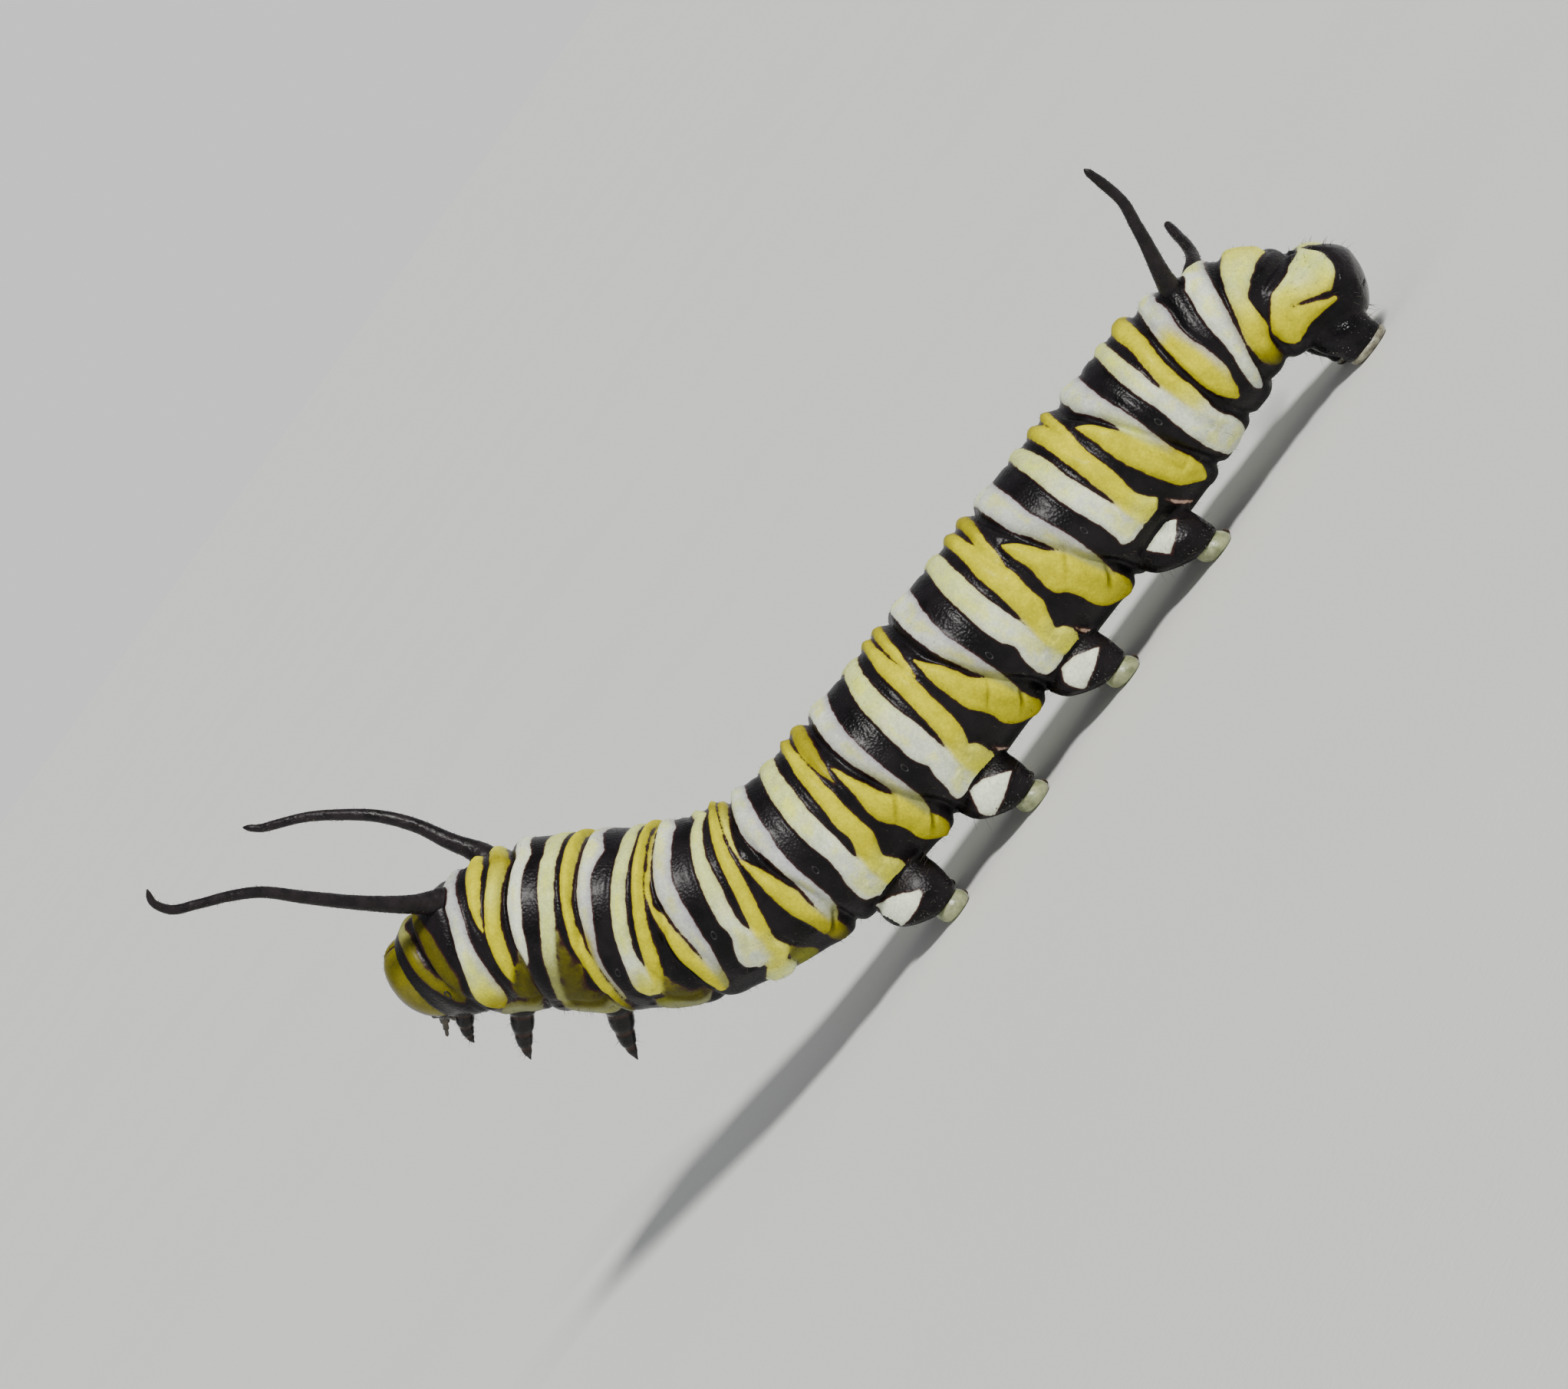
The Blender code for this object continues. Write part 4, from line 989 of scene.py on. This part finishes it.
def place_on_body(points, grid):
    """u, turn and distance from the plain body of each point."""
    faces = grid_faces(BODY_ROWS, BODY_SIDES)[:-2]
    tree = BVHTree.FromPolygons([tuple(p) for p in grid.reshape(-1, 3)], faces)
    hits = [tree.find_nearest(Vector(p)) for p in points]
    hit = np.array([tuple(h[0]) for h in hits])
    index = np.array([h[2] for h in hits])
    row, side = index // BODY_SIDES, index % BODY_SIDES
    corner = grid[row, side]
    along = grid[row + 1, side] - corner
    around = grid[row, (side + 1) % BODY_SIDES] - corner
    offset = hit - corner
    aa, bb, ab = (along ** 2).sum(1), (around ** 2).sum(1), (along * around).sum(1)
    oa, ob = (offset * along).sum(1), (offset * around).sum(1)
    whole = aa * bb - ab ** 2
    a = np.clip((oa * bb - ob * ab) / whole, 0, 1)
    b = np.clip((ob * aa - oa * ab) / whole, 0, 1)
    return (BODY_U[row] + a * (BODY_U[1] - BODY_U[0]),
            BODY_TURNS[side] + b * (BODY_TURNS[1] - BODY_TURNS[0]),
            np.linalg.norm(points - hit, axis=1))


def filament_root(line, points):
    """Where a filament's line leaves the body."""
    places = curve(line, 40)[0]
    return places[np.argmin([np.abs((points - p) ** 2).sum(1).min() for p in places[:12]])]


def make_skin(material):
    """The skin, and its points in millimetres with their u, turn and share of a proleg."""
    grid = plain_body()
    shapes = [closed_body(grid)] + [proleg_shape(leg, leg.rings) for leg in all_prolegs()]
    data = remeshed(*join(shapes))
    points = read_vectors(data.vertices, "co")
    edges = np.zeros(len(data.edges) * 2, np.int32)
    data.edges.foreach_get("vertices", edges)
    edges = edges.reshape(-1, 2)
    points = smoothed(points, edges, np.full(len(points), 0.5), 3)
    u, turn, height = place_on_body(points, grid)
    share = step(height, *PROLEG_RISE) * (from_back(turn) > PROLEG_TURN) * (u > PROLEGS_FROM)
    # the hollows where the prolegs grow from the belly are smoothed more
    near_root = hump(height - HOLLOW[0], HOLLOW[1]) * (share > 0) * (u < TAIL_FROM)
    weight = smoothed(near_root[:, None].repeat(3, 1), edges, np.full(len(u), 0.6), 6)[:, 0]
    points = smoothed(points, edges, np.clip(weight, 0, 1) * 0.6, 14)
    write_points(data, points)
    normals = read_vectors(data.vertex_normals, "vector")
    mark, tint, relief = skin_marks(u, turn)
    proleg_marks(points, mark, tint, share)
    relief = relief * (1 - share)
    for line in (*FRONT_FILAMENT.values(), *REAR_FILAMENT.values()):
        away = np.linalg.norm(points - filament_root(line, points), axis=1)
        relief = relief + ROOT_SWELLING * hump(away, ROOT_SWELLING_WIDTH)
        mark = np.minimum(mark, away - ROOT_BLACK)
    points = points + normals * relief[:, None]
    write_points(data, to_metres(points))
    gloss = (share > 0) * step(FLOOR + FOOT_GLOSS[0] - points[:, 2], 0, FOOT_GLOSS[1])
    gloss = gloss + 0.6 * step(u, *TAIL_GLOSS)
    for name, values in (("mark", mark), ("tint", tint), ("gloss", gloss), ("leg", share)):
        store(data, name, values)
    data.materials.clear()
    data.materials.append(material)
    data.shade_smooth()
    data.name = "skin"
    return placed("skin", data), points, u, turn, share


# ---- head ----


def head_frame():
    """Middle of the head, and its face, left and crown directions."""
    centre, forward, back, left = station(0)
    upright = unit(np.cross(forward, left))
    if np.dot(upright, back) < 0:
        upright = -upright
    nod = math.radians(HEAD_NOD)
    face = forward * math.cos(nod) - upright * math.sin(nod)
    crown = upright * math.cos(nod) + forward * math.sin(nod)
    return centre + forward * HEAD_OUT, np.array([face, left, crown])


HEAD_MIDDLE, HEAD_AXES = head_frame()
FACE, LEFT, CROWN = HEAD_AXES
HEAD_SIZES = np.array([HEAD_DEPTH, HEAD_WIDTH, HEAD_HEIGHT])


def on_head(direction):
    """Place on the capsule in a direction given as face, left and crown, and the way out."""
    direction = unit(direction)
    reach = 1 / np.linalg.norm(direction / HEAD_SIZES, axis=-1, keepdims=True)
    return HEAD_MIDDLE + (direction * reach) @ HEAD_AXES, direction @ HEAD_AXES


# Frons, the triangle in the middle of the face, and the stripes round it, in degrees
FRONS_TOP = 8.0          # above the middle of the face
FRONS_FOOT = -52.0
FRONS_HALF = 25.0        # half width at its foot
INNER_ARCH = (44.0, 62.0)    # half width and height of the inner stripe's outer edge
OUTER_ARCH = (62.0, 78.0)    # and of the outer stripe's inner edge
ARCH_FOOT = -10
OUTER_LIMIT = 117
MARK_DEGREE = 0.028          # millimetres to the degree


def head_marks(x, y):
    """Stripes of the face by degrees to the side and up from its middle: mark, tint, relief."""
    side, up = np.abs(x), np.clip(y - ARCH_FOOT, 0, None)
    half = FRONS_HALF * np.clip((FRONS_TOP - y) / (FRONS_TOP - FRONS_FOOT), -1, 1)
    frons = np.minimum(half - side - 3.0, y - FRONS_FOOT + 4)
    arch = np.sqrt((side / INNER_ARCH[0]) ** 2 + (up / INNER_ARCH[1]) ** 2)
    inner = np.minimum((1 - arch) * 50, side - np.maximum(half + 3.5, 3.2))
    arch = np.sqrt((side / OUTER_ARCH[0]) ** 2 + (up / OUTER_ARCH[1]) ** 2)
    outer = np.minimum((arch - 1) * 62, OUTER_LIMIT - np.hypot(x, y))
    outer = np.minimum(outer, np.maximum(side - 4.0, -y - 20))
    marks = np.stack([frons, inner, outer]) * MARK_DEGREE
    # the outer stripe's colour is partly painted shade, the skin's own yellow made darker
    colours = np.array([linear("pale"), linear("yellow"), linear("shaded_yellow")])
    weights = np.exp(30 * np.clip(marks, -0.5, 0.15))
    tint = np.einsum("kn,kc->nc", weights, colours) / weights.sum(0)[:, None]
    # grooves down the middle of the crown and round the frons, bulges at the cheeks
    groove = 0.10 * hump(side, 5.0) * step(y, FRONS_TOP - 6, FRONS_TOP + 10)
    groove += 0.035 * hump(side - np.maximum(half, 0), 2.5) * (y < FRONS_TOP) * (y > FRONS_FOOT)
    groove += 0.03 * hump(y - FRONS_FOOT, 2.5) * (side < FRONS_HALF)
    bulge = 0.07 * hump(side - 48, 30) * hump(y - 5, 45) - 0.05 * hump(y + 70, 20) * hump(side, 40)
    return marks.max(0), tint, bulge - groove


def make_head(material):
    ball = bmesh.new()
    bmesh.ops.create_icosphere(ball, subdivisions=7, radius=1.0)
    data = bpy.data.meshes.new("head_capsule")
    ball.to_mesh(data)
    ball.free()
    directions = unit(read_vectors(data.vertices, "co"))
    points, out = on_head(directions)
    tilt = np.degrees(np.arccos(np.clip(directions[:, 0], -1, 1)))
    x, y = (tilt[:, None] * unit(directions[:, 1:] + 1e-9)).T
    mark, tint, relief = head_marks(x, y)
    write_points(data, to_metres(points + out * relief[:, None]))
    store(data, "mark", mark)
    store(data, "tint", tint)
    data.materials.append(material)
    data.shade_smooth()
    return placed("head_capsule", data)


def notched(shares):
    """Upper lip: parted in the middle of its lower edge."""
    changed = shares.copy()
    changed[:, 2] += 0.45 * hump(shares[:, 1], 0.28) * np.clip(-shares[:, 2], 0, 1)
    changed[:, 0] *= 1 - 0.3 * hump(shares[:, 1], 0.16)
    return changed


def toothed(shares):
    """Mandible: five blunt teeth on its lower edge."""
    changed = shares.copy()
    changed[:, 2] -= 0.14 * np.abs(np.cos(7 * shares[:, 1])) * np.clip(-shares[:, 2], 0, 1)
    return changed


# Feelers and palps: share of the length and radius
ANTENNA = ((-0.25, 0.20), (0.05, 0.20), (0.30, 0.17), (0.34, 0.15), (0.36, 0.11), (0.62, 0.11),
           (0.66, 0.10), (0.68, 0.075), (0.92, 0.07), (1.0, 0.02))
PALP = ((-0.3, 0.22), (0.0, 0.23), (0.30, 0.21), (0.36, 0.18), (0.40, 0.15), (0.66, 0.15),
        (0.70, 0.12), (0.74, 0.09), (0.95, 0.08), (1.0, 0.03))


def feeler(direction, way, table):
    """Jointed feeler that leaves the head in a direction."""
    root = on_head(direction)[0]
    return tube([root + way * share for share, _ in table], [radius for _, radius in table], 20)


def make_mouth(lip_material, jaw_material, feeler_material):
    lip = [ellipsoid(on_head((0.75, 0.0, -0.80))[0], HEAD_AXES, (0.30, 0.50, 0.32), change=notched)]
    jaws = [ellipsoid(on_head((0.55, sign * 0.30, -0.95))[0], HEAD_AXES, (0.26, 0.33, 0.42),
                      change=toothed) for sign in (1, -1)]
    lower = [ellipsoid(on_head((0.15, 0.0, -1.0))[0], HEAD_AXES, (0.40, 0.46, 0.34))]
    spinneret = on_head((0.20, 0.0, -1.0))[0] - CROWN * 0.25
    lower.append(tube([spinneret, spinneret - CROWN * 0.2 + FACE * 0.05,
                       spinneret - CROWN * 0.34 + FACE * 0.12], (0.10, 0.08, 0.03), 16))
    for sign in (1, -1):
        way = FACE * 0.55 + LEFT * sign * 0.25 - CROWN * 0.45
        lower.append(feeler((0.60, sign * 0.62, -0.72), way, ANTENNA))
        lower.append(feeler((0.32, sign * 0.35, -1.0), FACE * 0.1 - CROWN * 0.5, PALP))
    return (joined("upper_lip", lip, lip_material),
            joined("mandibles", jaws, jaw_material),
            joined("feelers", lower, feeler_material))


def make_stemmata(material):
    """The small eyes, six on each side of the head."""
    balls = []
    for around, above in np.radians(STEMMATA):
        for sign in (1, -1):
            place, _ = on_head((math.cos(around) * math.cos(above),
                                sign * math.sin(around) * math.cos(above), math.sin(above)))
            balls.append(ellipsoid(place, HEAD_AXES, (EYE_RADIUS,) * 3, 12, 20))
    return joined("eyes", balls, material)


# ---- filaments, legs, pads, breathing holes ----

# Kind, lines, radii, places along each line, and ends of the names of its nodes
FILAMENTS = (("front", FRONT_FILAMENT, FRONT_RADII, 200, ("_root", "_tip")),
             ("rear", REAR_FILAMENT, REAR_RADII, 130, ("",)))


def make_filaments(material):
    """Skin of each filament, the nodes it stands for, its line and its radii."""
    made = []
    for kind, lines, radii, count, ends in FILAMENTS:
        for side, points in lines.items():
            places, shares = curve(points, count)
            size = profile(radii, shares)
            name = f"{kind}_filament_{side}"
            piece = mesh_object(f"{name}_skin", *tube(places, size, 36, 0.018), material)
            made.append((piece, [name + end for end in ends], places, size))
    return made


def make_legs(material):
    """Skin of each leg of the thorax, the node it stands for, its line and its radii."""
    made = []
    shares = np.linspace(0, 1, 110)
    joint = np.min([np.abs(shares - at) for at in LEG_JOINTS], axis=0)
    mark = np.repeat((0.008 - joint) * 2.5 - 0.01, LEG_SIDES)
    for kind, (u, turn, length, lean, thickness) in LEGS.items():
        centre, forward, back, left = station(u)
        size = profile(LEG_RADII, shares, thickness)
        for side, sign in (("left", 1), ("right", -1)):
            root = surface_point(u, sign * turn)
            inward = unit(centre - root) * LEG_SUNK
            reach = unit(-back + sign * LEG_SPLAY * left + lean * forward) * (LEG_SUNK + length)
            places = [root + inward + reach * s - forward * LEG_CLAW * s ** 4 for s in shares]
            piece = mesh_object(f"{kind}_{side}_skin", *tube(places, size, LEG_SIDES, 0.006), material)
            store(piece.data, "mark", mark)
            store(piece.data, "tint", np.tile(linear("sage") * 0.15, (len(mark), 1)))
            made.append((piece, [f"{kind}_{side}"], places, size))
    return made


def make_pads(material, tail_material, hook_material):
    """Pads under the prolegs, and the rows of hooks on their outer edges."""
    pads, tail_pads, hooks = [], [], []
    for leg in all_prolegs():
        kind = pads if leg.number in PROLEG_X else tail_pads
        kind.append(proleg_shape(leg, leg.pad_rings, 48, 30))
        _, out, half_length, half_width, _ = leg.pad_rings[4]
        foot = np.array([leg.pad_x, leg.middle - leg.sign * out, FLOOR + 0.05])
        for k in range(HOOKS):
            angle = math.radians(-75 + 150 * k / (HOOKS - 1))
            across = np.array([math.sin(angle), leg.sign * math.cos(angle), 0.0])
            edge = foot + across * np.array([half_length, half_width, 0]) * 0.93
            high = 0.30 if k % 2 else 0.22
            path = [edge + across * out_by + [0, 0, up]
                    for out_by, up in ((0.02, high), (0.10, high * 0.7), (0.09, 0.06), (0.0, 0.0))]
            hooks.append(tube(curve(path, 7)[0], np.linspace(0.030, 0.006, 7), 6))
    return (joined("pads", pads, material),
            joined("tail_pads", tail_pads, tail_material),
            joined("hooks", hooks, hook_material))


def make_foot_grains(skin_tree, material):
    """Small shining grains on the black lower part of the prolegs."""
    source = np.random.default_rng(SEED + 3)
    grains = []
    for leg in all_prolegs():
        table = np.array(leg.rings, float)[::-1]
        for _ in range(GRAINS):
            height = source.uniform(table[1, 0] + 0.05, 1.15)
            around = math.radians(source.uniform(-80, 80))
            out, half_length, half_width, ahead = (np.interp(height, table[:, 0], table[:, k])
                                                   for k in (1, 2, 3, 4))
            guess = (proleg_x(leg, height) - ahead + half_length * math.sin(around),
                     leg.middle - leg.sign * (out + half_width * math.cos(around)), FLOOR + height)
            place = np.array(skin_tree.find_nearest(Vector(guess))[0])
            size = source.uniform(*GRAIN_SIZE)
            grains.append(ellipsoid(place, np.eye(3), (size, size, size), 7, 8))
    return joined("foot_grains", grains, material)


def make_spiracles(skin_tree, material):
    """Breathing holes: a low oval rim on the skin round a dark hollow."""
    angle = circle(SPIRACLE_SIDES)
    rings = []
    for u, turn in SPIRACLES:
        for sign in (1, -1):
            place, normal, _, _ = skin_tree.find_nearest(Vector(surface_point(u, sign * turn)))
            place, normal = np.array(place), np.array(normal)
            _, forward, *_ = station(u)
            tall = unit(np.cross(normal, forward))
            axes = np.array([np.cross(tall, normal), tall, normal])
            rows = [place + np.stack([np.cos(angle) * SPIRACLE_HALF[0] * size,
                                      np.sin(angle) * SPIRACLE_HALF[1] * size,
                                      np.full(SPIRACLE_SIDES, height)], 1) @ axes
                    for size, height in SPIRACLE_RINGS]
            rings.append((np.concatenate(rows), grid_faces(len(rows), SPIRACLE_SIDES)))
    return joined("spiracles", rings, material)


# ---- hairs ----

HAIR_STEPS = 4
HAIR_SIDES = 3
HAIR_TAPER = 0.92        # share of the radius that is gone at the tip
HAIR_PATCH = 0.0028      # side of a hair's patch of texture
HAIRS_OVER_FLOOR = 0.75


def hairs(name, roots, ways, lengths, radii, sag, unwrap, material):
    """Fine tapered hairs as solid mesh, one small patch of texture each."""
    count = len(roots)
    ways = unit(ways)
    first = unit(np.cross(ways, np.tile([0.31, 0.52, 0.79], (count, 1))))
    second = np.cross(ways, first)
    rows = []
    for s in np.linspace(0, 1, HAIR_STEPS):
        place = roots + ways * (lengths * s)[:, None] + sag * (s ** 2 * lengths)[:, None]
        size = radii * (1 - HAIR_TAPER * s)
        for angle in circle(HAIR_SIDES):
            rows.append(place + (first * math.cos(angle) + second * math.sin(angle)) * size[:, None])
    points = np.stack(rows, 1).reshape(-1, 3)
    per = HAIR_STEPS * HAIR_SIDES
    one = grid_faces(HAIR_STEPS, HAIR_SIDES)
    faces = [tuple(i * per + k for k in face) for i in range(count) for face in one]
    piece = mesh_object(name, points, faces, material)
    corner = np.zeros(len(piece.data.loops), np.int32)
    piece.data.loops.foreach_get("vertex_index", corner)
    which, part = corner // per, corner % per
    flat = unwrap[which] + np.stack([(part // HAIR_SIDES) / (HAIR_STEPS - 1) * HAIR_PATCH,
                                     (part % HAIR_SIDES) / (HAIR_SIDES - 1) * HAIR_PATCH], 1)
    piece.data.uv_layers.new(name="OFBake").data.foreach_set("uv", flat.astype(np.float32).ravel())
    return piece


def make_skin_hairs(skin, points, u, turn, share, material):
    """Short hairs that lie to the tail, longer on the prolegs, the belly and the last segment."""
    source = np.random.default_rng(SEED)
    allowed = np.nonzero((u > 0.25) & (u < 12.95) & (points[:, 2] > FLOOR + HAIRS_OVER_FLOOR))[0]
    pick = source.choice(allowed, SKIN_HAIRS, replace=False)
    normals = read_vectors(skin.data.vertex_normals, "vector")[pick]
    ways = normals - stations(u[pick])[1] * source.uniform(0.1, 0.7, len(pick))[:, None]
    ways += source.normal(scale=0.18, size=ways.shape)
    tail = step(u[pick], 11.5, 12.6)
    lengths = source.uniform(0.06, 0.18, len(pick)) + 0.22 * tail + 0.22 * share[pick]
    lengths += 0.10 * step(from_back(turn[pick]), 100, 130)
    radii = HAIR_RADIUS + 0.004 * tail
    unwrap = np.stack([u[pick] / (LAST + 0.1), (turn[pick] % 360) / 365.0], 1)
    return hairs("skin_hairs", points[pick] - normals * 0.02, ways, lengths, radii,
                 np.array([0.0, 0.0, -0.10]), unwrap, material)


def make_head_hairs(material):
    source = np.random.default_rng(SEED + 1)
    directions = unit(source.normal(size=(1500, 3)))
    directions = directions[directions[:, 0] > -0.15][:HEAD_HAIRS]
    place, out = on_head(directions)
    ways = out + source.normal(scale=0.2, size=out.shape) - CROWN * 0.3
    lengths = source.uniform(0.08, 0.22, len(place))
    return hairs("head_hairs", place - out * 0.03, ways, lengths, np.full(len(place), HAIR_RADIUS),
                 np.array([0.0, 0.0, -0.05]), directions[:, 1:] * 0.24 + 0.26, material)


def make_limb_hairs(limbs, material):
    """Short stiff hairs on the legs and the filaments."""
    source = np.random.default_rng(SEED + 2)
    roots, ways, lengths, spots = [], [], [], []
    for index, (piece, _, places, size) in enumerate(limbs):
        along = unit(np.gradient(places, axis=0))
        end = len(places)
        if "leg" in piece.name:
            count, low, high, reach = LEG_HAIRS, int(end * 0.28), int(end * 0.9), (0.12, 0.30)
        else:
            count, low, high, reach = FILAMENT_HAIRS, 12, end - 3, (0.05, 0.14)
        for _ in range(count):
            k = int(source.integers(low, high))
            side = unit(np.cross(along[k], source.normal(size=3)))
            roots.append(places[k] + side * size[k] * 0.96)
            ways.append(side + along[k] * source.uniform(0.2, 0.9))
            lengths.append(source.uniform(*reach))
            spots.append((0.08 * index + 0.02 + 0.05 * source.random(), k / end * 0.95))
    return hairs("limb_hairs", np.array(roots), np.array(ways), np.array(lengths),
                 np.full(len(roots), LIMB_HAIR_RADIUS), np.zeros(3), np.array(spots), material)


# ---- stage ----

CAMERA_ELEVATION = 6.0
CAMERA_ROLL = 54.0
CAMERA_DISTANCE = 200.0
CAMERA_TARGET = np.array([0.0, 0.0, 6.63])
PIXELS_PER_MM = 38.0
PICTURE = np.array([2044, 1811])
TARGET_PIXEL = np.array([1130, 900])
SENSOR = 36.0
FLOOR_COLOURS = ((0.70, 0.70, 0.68), (0.76, 0.76, 0.74))
FLOOR_RADIUS = 3.0       # in metres
HORIZON = (0.88, 0.885, 0.88)
ZENITH = (0.24, 0.25, 0.26)
# Suns: place they shine from, strength, width in degrees and colour
SUNS = {
    "key": ((0.45, -0.90, 1.20), 3.9, 12.0, (1.0, 0.985, 0.95)),
    "fill": ((-1.0, -0.6, 0.5), 0.35, 60.0, (0.96, 0.98, 1.0)),
}


def make_camera():
    tilt, roll = math.radians(CAMERA_ELEVATION), math.radians(CAMERA_ROLL)
    look = np.array([0.0, math.cos(tilt), -math.sin(tilt)])
    right = unit(np.cross(look, [0.0, 0.0, 1.0]))
    up = np.cross(right, look)
    across = right * math.cos(roll) - up * math.sin(roll)
    above = right * math.sin(roll) + up * math.cos(roll)
    aside, down = (PICTURE / 2 - TARGET_PIXEL) / PIXELS_PER_MM
    eye = CAMERA_TARGET - look * CAMERA_DISTANCE + across * aside - above * down
    data = bpy.data.cameras.new("camera")
    data.sensor_width = SENSOR
    data.lens = PIXELS_PER_MM * CAMERA_DISTANCE / PICTURE[0] * SENSOR
    data.clip_start = 0.01
    data.clip_end = 20.0
    camera = placed("camera", data)
    turned = Matrix([list(row) for row in zip(across, above, -look)]).to_4x4()
    camera.matrix_world = Matrix.Translation(Vector(to_metres(eye))) @ turned
    bpy.context.scene.camera = camera


def make_stage():
    """Pale floor, two soft suns and a sky that is brighter at the horizon."""
    floor_look, tree, shader, place = new_material("floor")
    finish_shader(tree, shader, noise(tree, place, 4000.0, 2.0), 0.02, Roughness=0.8,
                  Base_Color=blend(tree, noise(tree, place, 30.0), *FLOOR_COLOURS))
    disc = bmesh.new()
    bmesh.ops.create_circle(disc, cap_ends=True, segments=96, radius=FLOOR_RADIUS)
    data = bpy.data.meshes.new("floor")
    disc.to_mesh(data)
    disc.free()
    data.materials.append(floor_look)
    floor = placed("floor", data)
    for name, (source, strength, width, colour) in SUNS.items():
        sun = bpy.data.lights.new(name, "SUN")
        sun.energy, sun.angle, sun.color = strength, math.radians(width), colour
        placed(name, sun).rotation_euler = Vector(source).to_track_quat("Z", "Y").to_euler()
    world = bpy.data.worlds.new("world")
    world.use_nodes = True
    tree = world.node_tree
    place = node(tree, "TexCoord").outputs["Generated"]
    height = node(tree, "SeparateXYZ", Vector=place).outputs["Z"]
    sky = blend(tree, ramp(tree, height, 0.10, 0.55), HORIZON, ZENITH)
    tree.links.new(sky, tree.nodes["Background"].inputs["Color"])
    bpy.context.scene.world = world


# ---- the whole larva ----


def keep(piece, slot, *nodes):
    """Ride on the body and stand for its nodes."""
    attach(piece, "root")
    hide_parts(*nodes)


def main():
    looks = {name: marked_material(name, *values) for name, values in MARKED_LOOKS.items()}
    looks |= {name: plain_material(name, *values) for name, values in PLAIN_LOOKS.items()}
    skin, points, u, turn, share = make_skin(looks["skin"])
    keep(skin, "larva_skin", *BANDS)
    skin_tree = BVHTree.FromPolygons([tuple(p) for p in points],
                                     [tuple(f.vertices) for f in skin.data.polygons])
    for piece in (make_head(looks["head"]), *make_mouth(looks["head"], looks["brown"], looks["horn"]),
                  make_stemmata(looks["eye"])):
        keep(piece, "head_capsule", "head")
    filaments, legs = make_filaments(looks["filament"]), make_legs(looks["leg"])
    for slot, limbs in (("filament", filaments), ("leg", legs)):
        for piece, nodes, _, _ in limbs:
            keep(piece, slot, *nodes)
    for piece in (*make_pads(looks["pad"], looks["tail_pad"], looks["brown"]),
                  make_foot_grains(skin_tree, looks["eye"])):
        keep(piece, "proleg", *PROLEG_NODES)
    keep(make_spiracles(skin_tree, looks["breathing_hole"]), "larva_skin", *BANDS)
    keep(make_skin_hairs(skin, points, u, turn, share, looks["hair"]), "larva_skin", *BANDS)
    keep(make_head_hairs(looks["hair"]), "head_capsule", "head")
    keep(make_limb_hairs(filaments + legs, looks["hair"]), "leg",
         *(nodes[0] for _, nodes, _, _ in legs))
    make_stage()
    make_camera()


main()
